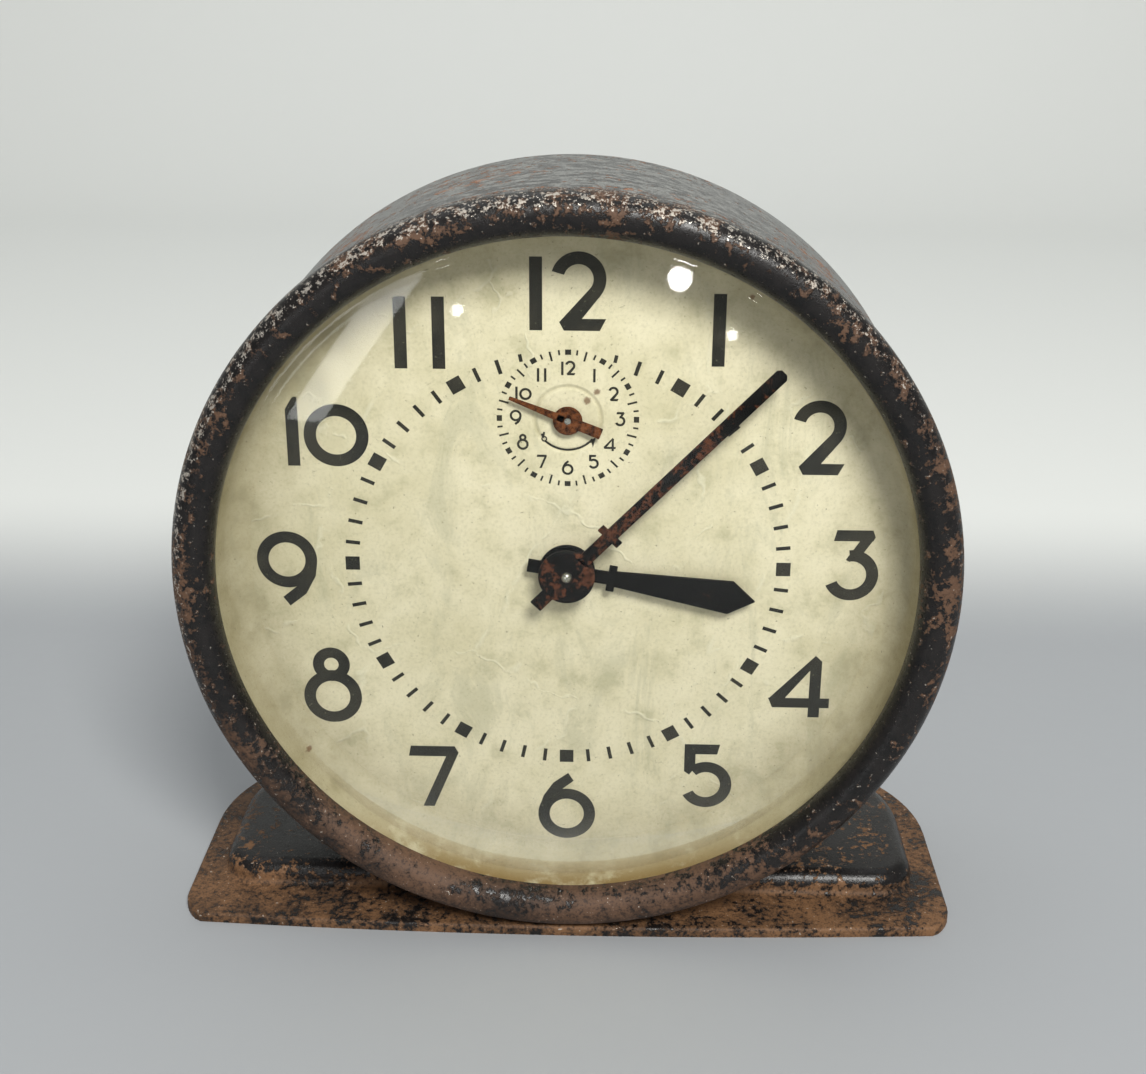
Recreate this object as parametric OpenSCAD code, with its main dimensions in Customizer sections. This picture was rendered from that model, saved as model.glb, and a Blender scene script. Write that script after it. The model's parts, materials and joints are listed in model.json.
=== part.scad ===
// Wind-up alarm clock: a pressed steel drum on a flat base plate, with a two-train movement inside.
// Depths are measured from the dial face, positive towards the back. On the dial, x is right and
// y is down, so an angle of -90 points at 12 and angles grow clockwise as seen from the front.

/* [Case] */
// Outer radius of the drum
drum_r = 55.3; // [55:0.1:70]
// Thickness of the drum's steel
drum_wall = 0.6; // [0.4:0.1:1]
// Depth from the dial face to the back edge of the drum
drum_back = 30; // [30:0.5:40]
// Width of the lip that the drum's back edge turns in
back_lip = 2.4; // [1.5:0.1:3]
// Height of the drum's lowest line above the table
drum_lift = 2.5; // [2.4:0.1:6]
// Radius of the bezel's rounded front
bezel_curl_r = 3; // [2.6:0.1:3.4]
// Thickness of the bezel's brass
bezel_wall = 0.7; // [0.5:0.1:0.8]
// Distance that the bezel stands out beyond the drum
bezel_overhang = 0.8; // [0.6:0.1:1.2]
// Distance from the dial face forward to the middle of the bezel's curl
bezel_front = 8; // [7:0.1:10]
// Thickness of the glass
glass_t = 1.2; // [0.8:0.1:1.6]
// Height of the glass dome at its middle
glass_dome = 5.5; // [4:0.1:6.5]
// Thickness of the back cover
cover_t = 0.8; // [0.6:0.1:1.2]

/* [Base] */
// Width of the base plate
base_w = 120.4; // [112:0.1:150]
// Distance from the dial face forward to the base's front edge
base_front = 9.5; // [8:0.1:12]
// Distance from the dial face to the base's back edge
base_back = 45; // [42:0.5:55]
// How far the base's front edge bows out in the middle
base_bow = 1.5; // [1:0.1:3]
// Radius of the base's front corners
base_front_r = 8; // [6:0.1:12]
// Radius of the base's back corners
base_back_r = 25; // [15:0.1:30]
// Thickness of the base's steel
base_wall = 0.8; // [0.6:0.1:1]
// Height of the base's flange above the table
flange_h = 1.55; // [1.4:0.05:1.6]
// Width of the flange at the sides and back
flange_w = 4.2; // [3:0.1:6]
// Distance from the dial face back to the front of the raised middle
plateau_front = 0.5; // [0:0.1:4]
// Height of the raised middle above the table
plateau_h = 5; // [4.6:0.1:7]
// Radius of the raised middle's front corners
plateau_front_r = 7; // [4:0.1:10]

/* [Dial and hands] */
// Thickness of the dial
dial_t = 0.5; // [0.3:0.1:0.8]
// Gap between the dial face's edge and the minute hand's tip
minute_tip_gap = 3.7; // [2:0.1:8]
// Width of the minute hand's arm
minute_w = 1.95; // [1.4:0.05:2.4]
// Length of the hour hand, centre to point
hour_len = 27.9; // [20:0.1:32]
// Length of the alarm hand, centre to point
alarm_len = 8.9; // [6:0.1:9.5]
// Thickness of the hands
hand_t = 0.5; // [0.3:0.05:0.6]
// Radius of the hour and minute hands' round middle
hand_hub_r = 4.1; // [3.6:0.1:5]
// Angle of the minute hand, clockwise from 12
minute_at = 44.05; // [0:1:359]
// Angle of the hour hand, clockwise from 12
hour_at = 99; // [0:1:359]
// Angle of the alarm hand, clockwise from 12
alarm_at = 291.7; // [0:1:359]

/* [Movement] */
// Radius of the movement's round plates
plate_r = 45; // [44.5:0.1:48]
// Thickness of the movement's plates
plate_t = 1.2; // [1:0.1:1.6]
// Distance from the dial face to the front plate
plate_front = 6; // [6:0.1:7]
// Gap between the two plates
plate_gap = 12.8; // [12.6:0.1:14.5]
// Distance from the centre up to the alarm arbor
alarm_up = 22.6; // [22.6:0.1:26]
// Tooth module of the two main wheels
main_mod = 0.6; // [0.58:0.01:0.64]
// Tooth module of the centre wheel
centre_mod = 0.4; // [0.38:0.01:0.42]
// Tooth module of the third wheel
third_mod = 0.36; // [0.34:0.01:0.38]
// Tooth module of the fourth wheel
fourth_mod = 0.32; // [0.3:0.01:0.34]
// Radius of the time mainspring's outer coil
time_spring_r = 14.5; // [12:0.1:15]
// Radius of the alarm mainspring's outer coil
alarm_spring_r = 9.6; // [8:0.1:9.8]
// Outer radius of the balance wheel
balance_r = 8.2; // [7:0.1:8.4]
// Radius of the bell
bell_r = 11; // [9:0.1:11.5]

/* [Knobs and keys] */
// Radius of the time setting knob
time_knob_r = 5; // [4:0.1:7]
// Radius of the alarm setting knob
alarm_knob_r = 4.4; // [4:0.1:6]
// Span of the time key's wings
time_key_w = 17; // [14:0.5:20]
// Span of the alarm key's wings
alarm_key_w = 15; // [12:0.5:18]
// Gap between the back cover and the knobs and keys
knob_gap = 2; // [1.5:0.1:3]

/* [Fits] */
// Running gap around every arbor
fit = 0.08; // [0.06:0.01:0.1]
// Gap around screws and other still pieces
loose = 0.15; // [0.1:0.05:0.2]

/* [Hidden] */
$fn = 64;

enamel = [0.10, 0.10, 0.12];
rusty = [0.36, 0.22, 0.14];
cream = [0.80, 0.78, 0.66];
brass = [0.72, 0.58, 0.30];
steel = [0.62, 0.63, 0.65];
blued = [0.16, 0.18, 0.26];
black = [0.07, 0.06, 0.06];

// Case, front to back
axis_h = drum_r + drum_lift;
drum_in_r = drum_r - drum_wall;
bezel_r = drum_r + bezel_overhang;
bezel_mid_r = bezel_r - bezel_curl_r;
bezel_in_r = bezel_mid_r - bezel_curl_r;
bezel_seat = 2.1;
bezel_skirt = 4.9;
drum_front = bezel_front - bezel_seat;
glass_edge = 1;
glass_front = bezel_front - bezel_wall;
glass_r = drum_in_r - 1.2;
ring_gap = glass_front - glass_edge;
ring_out_r = glass_r - 1;
dial_face_r = bezel_in_r - 3.5;
dial_r = dial_face_r + 3;
glass_apex = glass_front + glass_dome;
cover_back = drum_back - drum_wall;
cover_front = cover_back - cover_t;
cover_r = drum_in_r - loose;
dial_depth = (glass_apex - base_back) / 2;

// Movement levels, from the dial face back
inside_front = plate_front + plate_t;
inside_back = inside_front + plate_gap;
back_face = inside_back + plate_t;
shroud_t = 0.4;
shroud_gap = 0.2;
main_z = inside_front + 0.8;
main_t = 1.2;
ratchet_z = main_z + main_t + 0.2;
ratchet_t = 1;
ratchet_r = 3.1;
click_spot = [4.5, 0];
click_nose = [-1.9, 2.5];
centre_wheel_z = main_z + main_t + shroud_gap + shroud_t + 0.05;
spring_z = inside_front + 3.8;
spring_w = inside_back - 1.2 - spring_z;
lever_z = inside_front + 4;
third_wheel_z = inside_front + 5.4;
balance_z = inside_front + 6.8;
fourth_wheel_z = inside_front + 8.2;
hairspring_z = inside_front + 10;
regulator_z = inside_back - 1.2;
wheel_t = 0.8;

// Tooth counts
main_teeth = 60;
centre_leaves = 10;
centre_teeth = 72;
third_leaves = 9;
third_teeth = 60;
fourth_leaves = 8;
fourth_teeth = 64;
escape_leaves = 8;
escape_teeth = 15;
cannon_leaves = 12;
minute_teeth = 36;
minute_leaves = 10;
hour_teeth = 40;
alarm_leaves = 8;
alarm_escape_teeth = 16;
ratchet_teeth = 12;

// Motion work: the hour wheel meshes with an equal alarm wheel, so half their distance is its radius
hour_mod = alarm_up / hour_teeth;
motion_c = hour_mod * (hour_teeth + minute_leaves) / 2;
cannon_mod = 2 * motion_c / (cannon_leaves + minute_teeth);
alarm_main_mod = main_mod * 5 / 6;

// Angles from one arbor to the next
main_dir = 22.4;
third_dir = 118;
fourth_dir = 60;
escape_dir = 42;
balance_at = [26, 31];
motion_dir = 30;
alarm_main_at = [-24, -2];
alarm_escape_dir = -60;
hammer_dir = -110;
hammer_c = 7.8;
escape_r = 7;
lever_c = 7.6;
alarm_escape_r = 6.2;

function polar(d, a) = [d * cos(a), d * sin(a)];
function angle_of(v) = atan2(v[1], v[0]);

main_c = main_mod * (main_teeth + centre_leaves) / 2;
third_c = centre_mod * (centre_teeth + third_leaves) / 2;
fourth_c = third_mod * (third_teeth + fourth_leaves) / 2;
escape_c = fourth_mod * (fourth_teeth + escape_leaves) / 2;
alarm_escape_c = alarm_main_mod * (main_teeth + alarm_leaves) / 2;

main_at = polar(main_c, main_dir);
third_at = polar(third_c, third_dir);
fourth_at = third_at + polar(fourth_c, fourth_dir);
escape_at = fourth_at + polar(escape_c, escape_dir);
lever_dir = angle_of(balance_at - escape_at);
lever_at = escape_at + polar(lever_c, lever_dir);
fork_c = norm(balance_at - lever_at);
motion_at = polar(motion_c, motion_dir);
alarm_at_xy = [0, -alarm_up];
alarm_escape_at = alarm_main_at + polar(alarm_escape_c, alarm_escape_dir);
hammer_at = alarm_escape_at + polar(hammer_c, hammer_dir);
bell_at = [17, -27];
bell_top = cover_front - 1.5;
hammer_head_at = [3.4, -33.5];
stop_at = [-20, -34];
pillar_at = [[34, -22], [38, 20], [-26, 30], [-30, -28]];
dial_foot_at = [[0, 40], [36, -14], [-34, -18]];
release_at = [-8, -8];

// Radii and lengths of turned pieces
centre_arbor_r = 1.25;
centre_tip_r = 0.85;
winding_r = 1.8;
thin_arbor_r = 0.7;
alarm_arbor_r = 1.2;
pivot_r = 0.5;
cannon_pipe_r = 2;
hour_pipe_r = 3;
pillar_r = 2.2;
tenon_r = 1.3;
standoff_r = 2.4;
screw_r = 1.1;
base_screw_r = 1.5;
base_screw_z = [8, 24];
hammer_arbor_r = 0.9;
cup_r = 1.5;
regulator_tip = 11;
regulator_swing = 15;
stop_len = 10;
stop_swing = 12;
cover_post = cover_front - back_face;
impulse_r = 1.7;
impulse_pin_r = 0.3;
staff_r = 0.8;
minute_len = dial_face_r - minute_tip_gap;
minute_z = 4.4;
hour_z = 2.2;
alarm_hand_z = 1.3;
knob_z = drum_back + knob_gap;

// ---- placing ----

// Stands the dial frame up: x right, y down, z into the clock
module in_case() {
  translate([0, dial_depth, axis_h]) rotate([-90, 0, 0]) children();
}

module at(p, z = 0) {
  translate([p[0], p[1], z]) children();
}

// Turns a child that points at 12 clockwise
module clock_turn(a) {
  rotate([0, 0, a]) children();
}

module disc(r, z0, z1) {
  translate([0, 0, z0]) cylinder(r = r, h = z1 - z0);
}

module tube(r_out, r_in, z0, z1) {
  difference() {
    disc(r_out, z0, z1);
    disc(r_in, z0 - 1, z1 + 1);
  }
}

// ---- gearing ----

// Turns a pinion so that its leaves meet a wheel's gaps. The wheel has a tooth at wheel_at, and
// the pinion lies from it in direction dir.
function mesh_at(wheel_at, teeth, leaves, dir) =
  dir + 180 - (wheel_at - dir) * teeth / leaves - 180 / leaves;

// A tooth: parallel flanks to the pitch circle, then a narrowing tip
function tooth(i, teeth, mod, addendum, dedendum) =
  let (r = mod * teeth / 2, pitch = 360 / teeth, mid = i * pitch)
  let (root = 0.18 * pitch, waist = 0.17 * pitch, tip = 0.08 * pitch)
  [
    polar(r - dedendum * mod, mid - root), polar(r, mid - waist), polar(r + addendum * mod, mid - tip),
    polar(r + addendum * mod, mid + tip), polar(r, mid + waist), polar(r - dedendum * mod, mid + root)
  ];

module toothed(teeth, mod, z, t, addendum = 0.85, dedendum = 1.25) {
  translate([0, 0, z]) linear_extrude(t)
    polygon([for (i = [0:teeth - 1]) each tooth(i, teeth, mod, addendum, dedendum)]);
}

// A wheel with round windows between its arms
module wheel(teeth, mod, z, t, hub_r, arms) {
  rim_r = mod * (teeth / 2 - 1.25) - 1.4;
  window_at = (rim_r + hub_r) / 2;
  window_r = min((rim_r - hub_r) / 2, window_at * sin(180 / arms) - 0.5);
  difference() {
    toothed(teeth, mod, z, t);
    for (i = [0:arms - 1])
      rotate([0, 0, (i + 0.5) * 360 / arms]) translate([window_at, 0, 0]) disc(window_r, z - 1, z + t + 1);
  }
}

// A lantern pinion: round pins between two discs, clear of the wheel that drives it
module lantern(leaves, mod, z, t) {
  r = mod * leaves / 2;
  pin_r = 0.46 * mod;
  z0 = z - shroud_gap - shroud_t;
  z1 = z + t + shroud_gap + shroud_t;
  for (i = [0:leaves - 1])
    rotate([0, 0, i * 360 / leaves]) translate([r, 0, 0])
      translate([0, 0, z0 + shroud_t / 2]) cylinder(r = pin_r, h = z1 - z0 - shroud_t, $fn = 16);
  disc(r + pin_r + 0.25, z0, z0 + shroud_t);
  disc(r + pin_r + 0.25, z1 - shroud_t, z1);
}

// An arbor between the plates, with a thin pivot through each
module arbor(r) {
  disc(r, inside_front + 0.3, inside_back - 0.3);
  disc(pivot_r, plate_front, back_face);
}

// A wheel that is driven by its pinion and has both pivots in the plates
module train_wheel(teeth, mod, z, leaves, pinion_mod, pinion_z, pinion_t, pinion_at) {
  difference() {
    wheel(teeth, mod, z, wheel_t, 2.6, 4);
    disc(thin_arbor_r / 2, z - 1, z + wheel_t + 1);
  }
  disc(1.6, z - 0.5, z + wheel_t + 0.5);
  rotate([0, 0, pinion_at]) lantern(leaves, pinion_mod, pinion_z, pinion_t);
  arbor(thin_arbor_r);
}

// Saw teeth for the winding ratchets
module ratchet(r, z) {
  step = 360 / ratchet_teeth;
  translate([0, 0, z]) linear_extrude(ratchet_t)
    polygon([for (i = [0:ratchet_teeth - 1]) each [polar(r, i * step), polar(r - 1, (i + 0.96) * step)]]);
}

// Points along a spiral of flat strip, out along one side and back along the other
function spiral(r0, r1, turns, side, steps) =
  [for (i = [0:steps]) polar(r0 + (r1 - r0) * i / steps + side, 360 * turns * i / steps)];

function reversed(list) = [for (i = [len(list) - 1:-1:0]) list[i]];

module coil(r0, r1, turns, strip, z, w) {
  steps = 28 * turns;
  translate([0, 0, z]) linear_extrude(w)
    polygon(concat(
      spiral(r0, r1, turns, 0, steps),
      reversed(spiral(r0, r1, turns, strip, steps))));
}

// A bar in the dial plane from one point to another
module bar(from, to, w, z, t) {
  translate([from[0], from[1], z]) rotate([0, 0, angle_of(to - from)])
    translate([0, -w / 2, 0]) cube([norm(to - from), w, t]);
}

module knurled(r, notches, z0, z1) {
  translate([0, 0, z0]) linear_extrude(z1 - z0)
    polygon([for (i = [0:2 * notches - 1]) polar(r - 0.35 * (i % 2), i * 180 / notches)]);
}

// ---- case ----

module case_drum() {
  color(enamel) in_case() difference() {
    union() {
      tube(drum_r, drum_in_r, -drum_front, drum_back);
      tube(drum_r - drum_wall / 2, drum_in_r - back_lip, drum_back - drum_wall, drum_back);
    }
    for (z = base_screw_z)
      translate([0, drum_in_r - 2, z]) rotate([-90, 0, 0]) cylinder(r = base_screw_r + loose, h = 4);
  }
}

module bezel() {
  color(enamel) in_case() rotate_extrude($fn = 128) {
    intersection() {
      translate([bezel_mid_r, -bezel_front]) difference() {
        circle(bezel_curl_r, $fn = 48);
        circle(bezel_curl_r - bezel_wall, $fn = 48);
      }
      translate([bezel_in_r - 1, -bezel_front - bezel_curl_r - 1])
        square([2 * bezel_curl_r + 2, bezel_curl_r + 1]);
    }
    translate([bezel_in_r, -bezel_front]) square([bezel_wall, bezel_wall]);
    translate([bezel_r - bezel_wall, -bezel_front]) square([bezel_wall, bezel_seat]);
    translate([drum_in_r - loose - bezel_wall, -drum_front - bezel_wall])
      square([bezel_r - drum_in_r + loose + bezel_wall, bezel_wall]);
    translate([drum_in_r - loose - bezel_wall, -drum_front - bezel_wall])
      square([bezel_wall, bezel_skirt + bezel_wall]);
  }
}

// The dome is part of a ball that meets the flat edge at the bezel's inner lip
module crystal() {
  ball_r = (bezel_in_r * bezel_in_r + glass_dome * glass_dome) / (2 * glass_dome);
  color([0.8, 0.85, 0.88, 0.35]) in_case() rotate_extrude($fn = 128) {
    intersection() {
      translate([0, ball_r - glass_apex]) difference() {
        circle(ball_r, $fn = 720);
        circle(ball_r - glass_t, $fn = 720);
      }
      translate([0, -glass_apex - 1]) square([bezel_in_r, glass_dome + 1]);
    }
    translate([bezel_in_r - 3, -glass_front]) square([glass_r - bezel_in_r + 3, glass_edge]);
  }
}

module dial_ring() {
  color(cream) in_case() rotate_extrude($fn = 128)
    polygon([
      [dial_face_r, 0], [dial_face_r, -0.4], [ring_out_r - 1.2, -ring_gap], [ring_out_r, -ring_gap],
      [ring_out_r, -ring_gap + 0.5], [ring_out_r - 0.8, -ring_gap + 0.5], [dial_face_r + 1, 0]
    ]);
}

module dial_plate() {
  color(cream) in_case() {
    difference() {
      disc(dial_r, 0, dial_t);
      disc(hour_pipe_r + 0.4, -1, dial_t + 1);
      at(alarm_at_xy) disc(alarm_arbor_r + 0.3, -1, dial_t + 1);
    }
    for (p = dial_foot_at) at(p) disc(1.2, dial_t / 2, plate_front);
  }
}

// Outline of the base, drawn with x right and y towards the back
module base_outline(inset) {
  half = base_w / 2 - inset;
  front = -base_front + inset;
  back = base_back - inset;
  front_r = base_front_r - inset;
  back_r = base_back_r - inset;
  bow_r = pow(base_w / 2 - base_front_r, 2) / (2 * base_bow);
  intersection() {
    union() {
      translate([-half, front + front_r]) square([2 * half, back - back_r - front - front_r]);
      translate([-half + front_r, front]) square([2 * (half - front_r), front_r + 1]);
      translate([-half + back_r, back - back_r - 1]) square([2 * (half - back_r), back_r + 1]);
      for (side = [-1, 1]) {
        translate([side * (half - front_r), front + front_r]) circle(front_r);
        translate([side * (half - back_r), back - back_r]) circle(back_r);
      }
    }
    translate([0, bow_r - base_front]) circle(bow_r - inset, $fn = 720);
  }
}

module plateau_outline(inset) {
  half = base_w / 2 - flange_w - inset;
  front = plateau_front + inset;
  back = base_back - flange_w - inset;
  front_r = plateau_front_r - inset;
  back_r = base_back_r - flange_w - inset;
  translate([-half, front + front_r]) square([2 * half, back - back_r - front - front_r]);
  translate([-half + front_r, front]) square([2 * (half - front_r), front_r + 1]);
  translate([-half + back_r, back - back_r - 1]) square([2 * (half - back_r), back_r + 1]);
  for (side = [-1, 1]) {
    translate([side * (half - front_r), front + front_r]) circle(front_r);
    translate([side * (half - back_r), back - back_r]) circle(back_r);
  }
}

// A pressed plate: turned-down rim, flat flange, raised middle and a saddle that the drum lies in
module base_pan() {
  flange_z = flange_h - base_wall;
  saddle_r = drum_r + 0.05;
  color(rusty) difference() {
    translate([0, dial_depth, 0]) {
      linear_extrude(flange_h) difference() {
        base_outline(0);
        base_outline(base_wall);
      }
      translate([0, 0, flange_z]) linear_extrude(base_wall) difference() {
        base_outline(base_wall / 2);
        plateau_outline(base_wall);
      }
      translate([0, 0, flange_z]) linear_extrude(plateau_h - flange_z) difference() {
        plateau_outline(0);
        plateau_outline(base_wall);
      }
      translate([0, 0, plateau_h - base_wall]) linear_extrude(base_wall) plateau_outline(base_wall / 2);
      intersection() {
        translate([0, 0, flange_z]) linear_extrude(plateau_h - flange_z) plateau_outline(base_wall / 2);
        translate([0, -dial_depth, 0]) in_case() disc(saddle_r + base_wall, -base_front, base_back);
      }
    }
    in_case() disc(saddle_r, -base_front - 1, base_back + 1);
    for (z = base_screw_z)
      translate([0, dial_depth + z, -1]) cylinder(r = base_screw_r + loose, h = axis_h / 2);
  }
}

// Pan heads under the saddle, with a driver slot
module base_screws() {
  head_top = drum_lift - base_wall - 0.1;
  color(steel) for (z = base_screw_z)
    translate([0, dial_depth + z, 0]) difference() {
      union() {
        translate([0, 0, head_top - 1.2]) cylinder(r = 2.8, h = 1.2);
        translate([0, 0, head_top - 0.6]) cylinder(r = base_screw_r, h = drum_lift + 5 - head_top);
      }
      translate([-3, -0.35, head_top - 1.3]) cube([6, 0.7, 0.6]);
    }
}

module base_nuts() {
  nut_z = drum_lift + drum_wall + 0.12;
  color(steel) for (z = base_screw_z)
    translate([0, dial_depth + z, nut_z]) difference() {
      cylinder(r = 3.2, h = 2.2, $fn = 6);
      translate([0, 0, -1]) cylinder(r = base_screw_r + 0.05, h = 5);
    }
}

// Cuts an arc through the back cover. Its round ends are drilled a little wider than the arc.
module arc_slot(r, half_w, middle, half_angle) {
  corner = polar(2 * r, half_angle);
  rotate([0, 0, middle]) {
    intersection() {
      tube(r + half_w, r - half_w, cover_front - 1, cover_back + 1);
      translate([0, 0, cover_front - 2]) linear_extrude(cover_t + 4)
        polygon([[0, 0], corner, [corner[0], -corner[1]]]);
    }
    for (side = [-1, 1]) at(polar(r, side * half_angle)) disc(half_w + 0.1, cover_front - 1, cover_back + 1);
  }
}

module back_cover() {
  color(enamel) in_case() difference() {
    disc(cover_r, cover_front, cover_back);
    disc(centre_arbor_r + 0.6, cover_front - 1, cover_back + 1);
    at(alarm_at_xy) disc(alarm_arbor_r + 0.6, cover_front - 1, cover_back + 1);
    at(main_at) disc(winding_r + 0.6, cover_front - 1, cover_back + 1);
    at(alarm_main_at) disc(winding_r + 0.6, cover_front - 1, cover_back + 1);
    for (p = pillar_at) at(p) disc(screw_r + loose, cover_front - 1, cover_back + 1);
    at(balance_at) arc_slot(regulator_tip, 1, 90, regulator_swing + 3);
    at(stop_at) arc_slot(stop_len, 1.4, -90, stop_swing + 3);
  }
}

module back_cover_screws() {
  color(steel) in_case() for (p = pillar_at) at(p) difference() {
    union() {
      disc(2.1, cover_back, cover_back + 1.2);
      disc(screw_r, cover_front - cover_post / 2 + 0.3, cover_back + 0.6);
    }
    translate([-2.5, -0.3, cover_back + 0.7]) cube([5, 0.6, 1]);
  }
}

// ---- movement frame ----

module plate(z, window_at, window_r) {
  difference() {
    disc(plate_r, z, z + plate_t);
    at(window_at) disc(window_r, z - 1, z + plate_t + 1);
    for (p = [third_at, fourth_at, escape_at, lever_at, alarm_escape_at])
      at(p) disc(pivot_r + fit, z - 1, z + plate_t + 1);
    disc(centre_arbor_r + fit, z - 1, z + plate_t + 1);
    at(alarm_at_xy) disc(alarm_arbor_r + fit, z - 1, z + plate_t + 1);
    at(main_at) disc(winding_r + fit, z - 1, z + plate_t + 1);
    at(alarm_main_at) disc(winding_r + fit, z - 1, z + plate_t + 1);
    at(hammer_at) disc(hammer_arbor_r + fit, z - 1, z + plate_t + 1);
    at(balance_at) disc(cup_r, z - 1, z + plate_t + 1);
    for (p = pillar_at) at(p) disc(tenon_r + loose / 2, z - 1, z + plate_t + 1);
  }
}

module front_plate() {
  color(brass) in_case() {
    plate(plate_front, bell_at, 8);
    at(motion_at) disc(0.8, 0.9, plate_front + 0.5);
  }
}

module back_plate() {
  color(brass) in_case() difference() {
    union() {
      plate(inside_back, [-24, 16], 5);
      at(stop_at) disc(1.2, back_face - 0.5, back_face + 2.2);
    }
    at(bell_at) disc(screw_r, inside_back - 1, back_face + 1);
  }
}

module pillars() {
  color(steel) in_case() for (p = pillar_at) at(p) {
    disc(pillar_r, inside_front, inside_back);
    disc(tenon_r, plate_front, back_face + cover_post / 3);
  }
}

module standoffs() {
  color(steel) in_case() for (p = pillar_at) at(p) difference() {
    translate([0, 0, back_face]) cylinder(r = standoff_r, h = cover_post, $fn = 6);
    disc(tenon_r + loose / 2, back_face - 1, back_face + cover_post / 3 + 0.3);
    disc(screw_r + loose / 2, cover_front - cover_post / 2, cover_front + 1);
  }
}

// ---- centre, motion work and hands ----

module centre_arbor() {
  color(steel) in_case() {
    disc(centre_tip_r, -minute_z, -minute_z + 1);
    disc(centre_arbor_r, -minute_z + hand_t, knob_z + 3);
    disc(1.6, centre_wheel_z - 0.9, centre_wheel_z);
    rotate([0, 0, mesh_at(main_dir + 180, main_teeth, centre_leaves, main_dir + 180)])
      lantern(centre_leaves, main_mod, main_z, main_t);
  }
}

module centre_wheel() {
  color(brass) in_case() difference() {
    wheel(centre_teeth, centre_mod, centre_wheel_z, wheel_t, 3, 5);
    disc(centre_arbor_r + 0.02, centre_wheel_z - 1, centre_wheel_z + wheel_t + 1);
  }
}

module cannon_pinion() {
  color(steel) in_case() difference() {
    union() {
      rotate([0, 0, mesh_at(0, minute_teeth, cannon_leaves, motion_dir + 180)])
        toothed(cannon_leaves, cannon_mod, plate_front - 2.4, 1.6);
      disc(cannon_pipe_r, -minute_z + hand_t, plate_front - 1.6);
    }
    disc(centre_arbor_r + 0.02, -minute_z - 1, plate_front);
  }
}

// A straight bar with a crossbar beside the hub, a chamfered tip and a short square tail
module minute_hand() {
  tail = 6.5;
  chamfer = 0.5;
  half = minute_w / 2;
  color(black) in_case() clock_turn(minute_at) difference() {
    translate([0, 0, -minute_z]) linear_extrude(hand_t) {
      circle(hand_hub_r);
      polygon([
        [-half, 0], [-half, -minute_len + chamfer], [-half + chamfer, -minute_len],
        [half - chamfer, -minute_len], [half, -minute_len + chamfer], [half, 0]
      ]);
      translate([-1.9, -9.5]) square([3.8, 1.15]);
      translate([-1, 0]) square([2, tail]);
    }
    disc(centre_tip_r + 0.02, -minute_z - 1, 0);
  }
}

// A low polished dome on the arbor's tip
module hand_cap() {
  sunk = 0.35;
  color(steel) in_case() translate([0, 0, -minute_z]) intersection() {
    translate([0, 0, sunk]) sphere(r = norm([centre_tip_r, sunk]), $fn = 48);
    translate([-2, -2, -1]) cube([4, 4, 1]);
  }
}

module time_set_knob() {
  color(brass) in_case() difference() {
    union() {
      knurled(time_knob_r, 30, knob_z, knob_z + 3);
      disc(2.4, knob_z - 1, knob_z + 0.5);
    }
    disc(centre_arbor_r + 0.02, knob_z - 2, knob_z + 4);
  }
}

module hour_wheel() {
  color(brass) in_case() difference() {
    union() {
      rotate([0, 0, mesh_at(0, minute_leaves, hour_teeth, motion_dir + 180)])
        toothed(hour_teeth, hour_mod, 1.6, wheel_t);
      disc(hour_pipe_r, -hour_z + hand_t, 1.7);
      disc(hour_pipe_r - 0.42, -hour_z, 0);
    }
    disc(cannon_pipe_r + fit, -hour_z - 1, 4);
  }
}

// A bar that opens into a long leaf, with a crossbar beside the hub and a short tail
module hour_hand() {
  neck = 7;
  widest = 24.2;
  color(black) in_case() clock_turn(hour_at) difference() {
    translate([0, 0, -hour_z]) linear_extrude(hand_t) {
      circle(hand_hub_r);
      polygon([[-1.2, -neck], [-2.6, -widest], [0, -hour_len], [2.6, -widest], [1.2, -neck]]);
      translate([-1, -neck - 0.5]) square([2, neck]);
      translate([-2, -neck - 0.2]) square([4, 1.2]);
      translate([-1, 0]) square([2, 5.8]);
    }
    disc(hour_pipe_r - 0.4, -hour_z - 1, 0);
  }
}

module minute_wheel() {
  color(brass) in_case() at(motion_at) difference() {
    union() {
      wheel(minute_teeth, cannon_mod, plate_front - 2.2, wheel_t, 3.4, 4);
      toothed(minute_leaves, hour_mod, 1.2, plate_front - 2.8 - 0.6);
      disc(2, 1.2, plate_front - 1);
    }
    disc(0.8 + fit, 0, plate_front);
  }
}

// ---- going train ----

module third_wheel() {
  color(brass) in_case() at(third_at)
    train_wheel(third_teeth, third_mod, third_wheel_z, third_leaves, centre_mod,
      centre_wheel_z, wheel_t, mesh_at(0, centre_teeth, third_leaves, third_dir));
}

module fourth_wheel() {
  color(brass) in_case() at(fourth_at)
    train_wheel(fourth_teeth, fourth_mod, fourth_wheel_z, fourth_leaves, third_mod,
      third_wheel_z, wheel_t, mesh_at(0, third_teeth, fourth_leaves, fourth_dir));
}

// Slim raked teeth. One stands on the line to the lever.
module escape_teeth_disc(teeth, r, z) {
  step = 360 / teeth;
  translate([0, 0, z]) linear_extrude(wheel_t)
    polygon([for (i = [0:teeth - 1]) each
      [polar(r - 1.9, (i - 0.12) * step), polar(r, (i - 0.05) * step), polar(r, (i + 0.03) * step),
       polar(r - 1.9, (i + 0.3) * step)]]);
}

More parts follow.
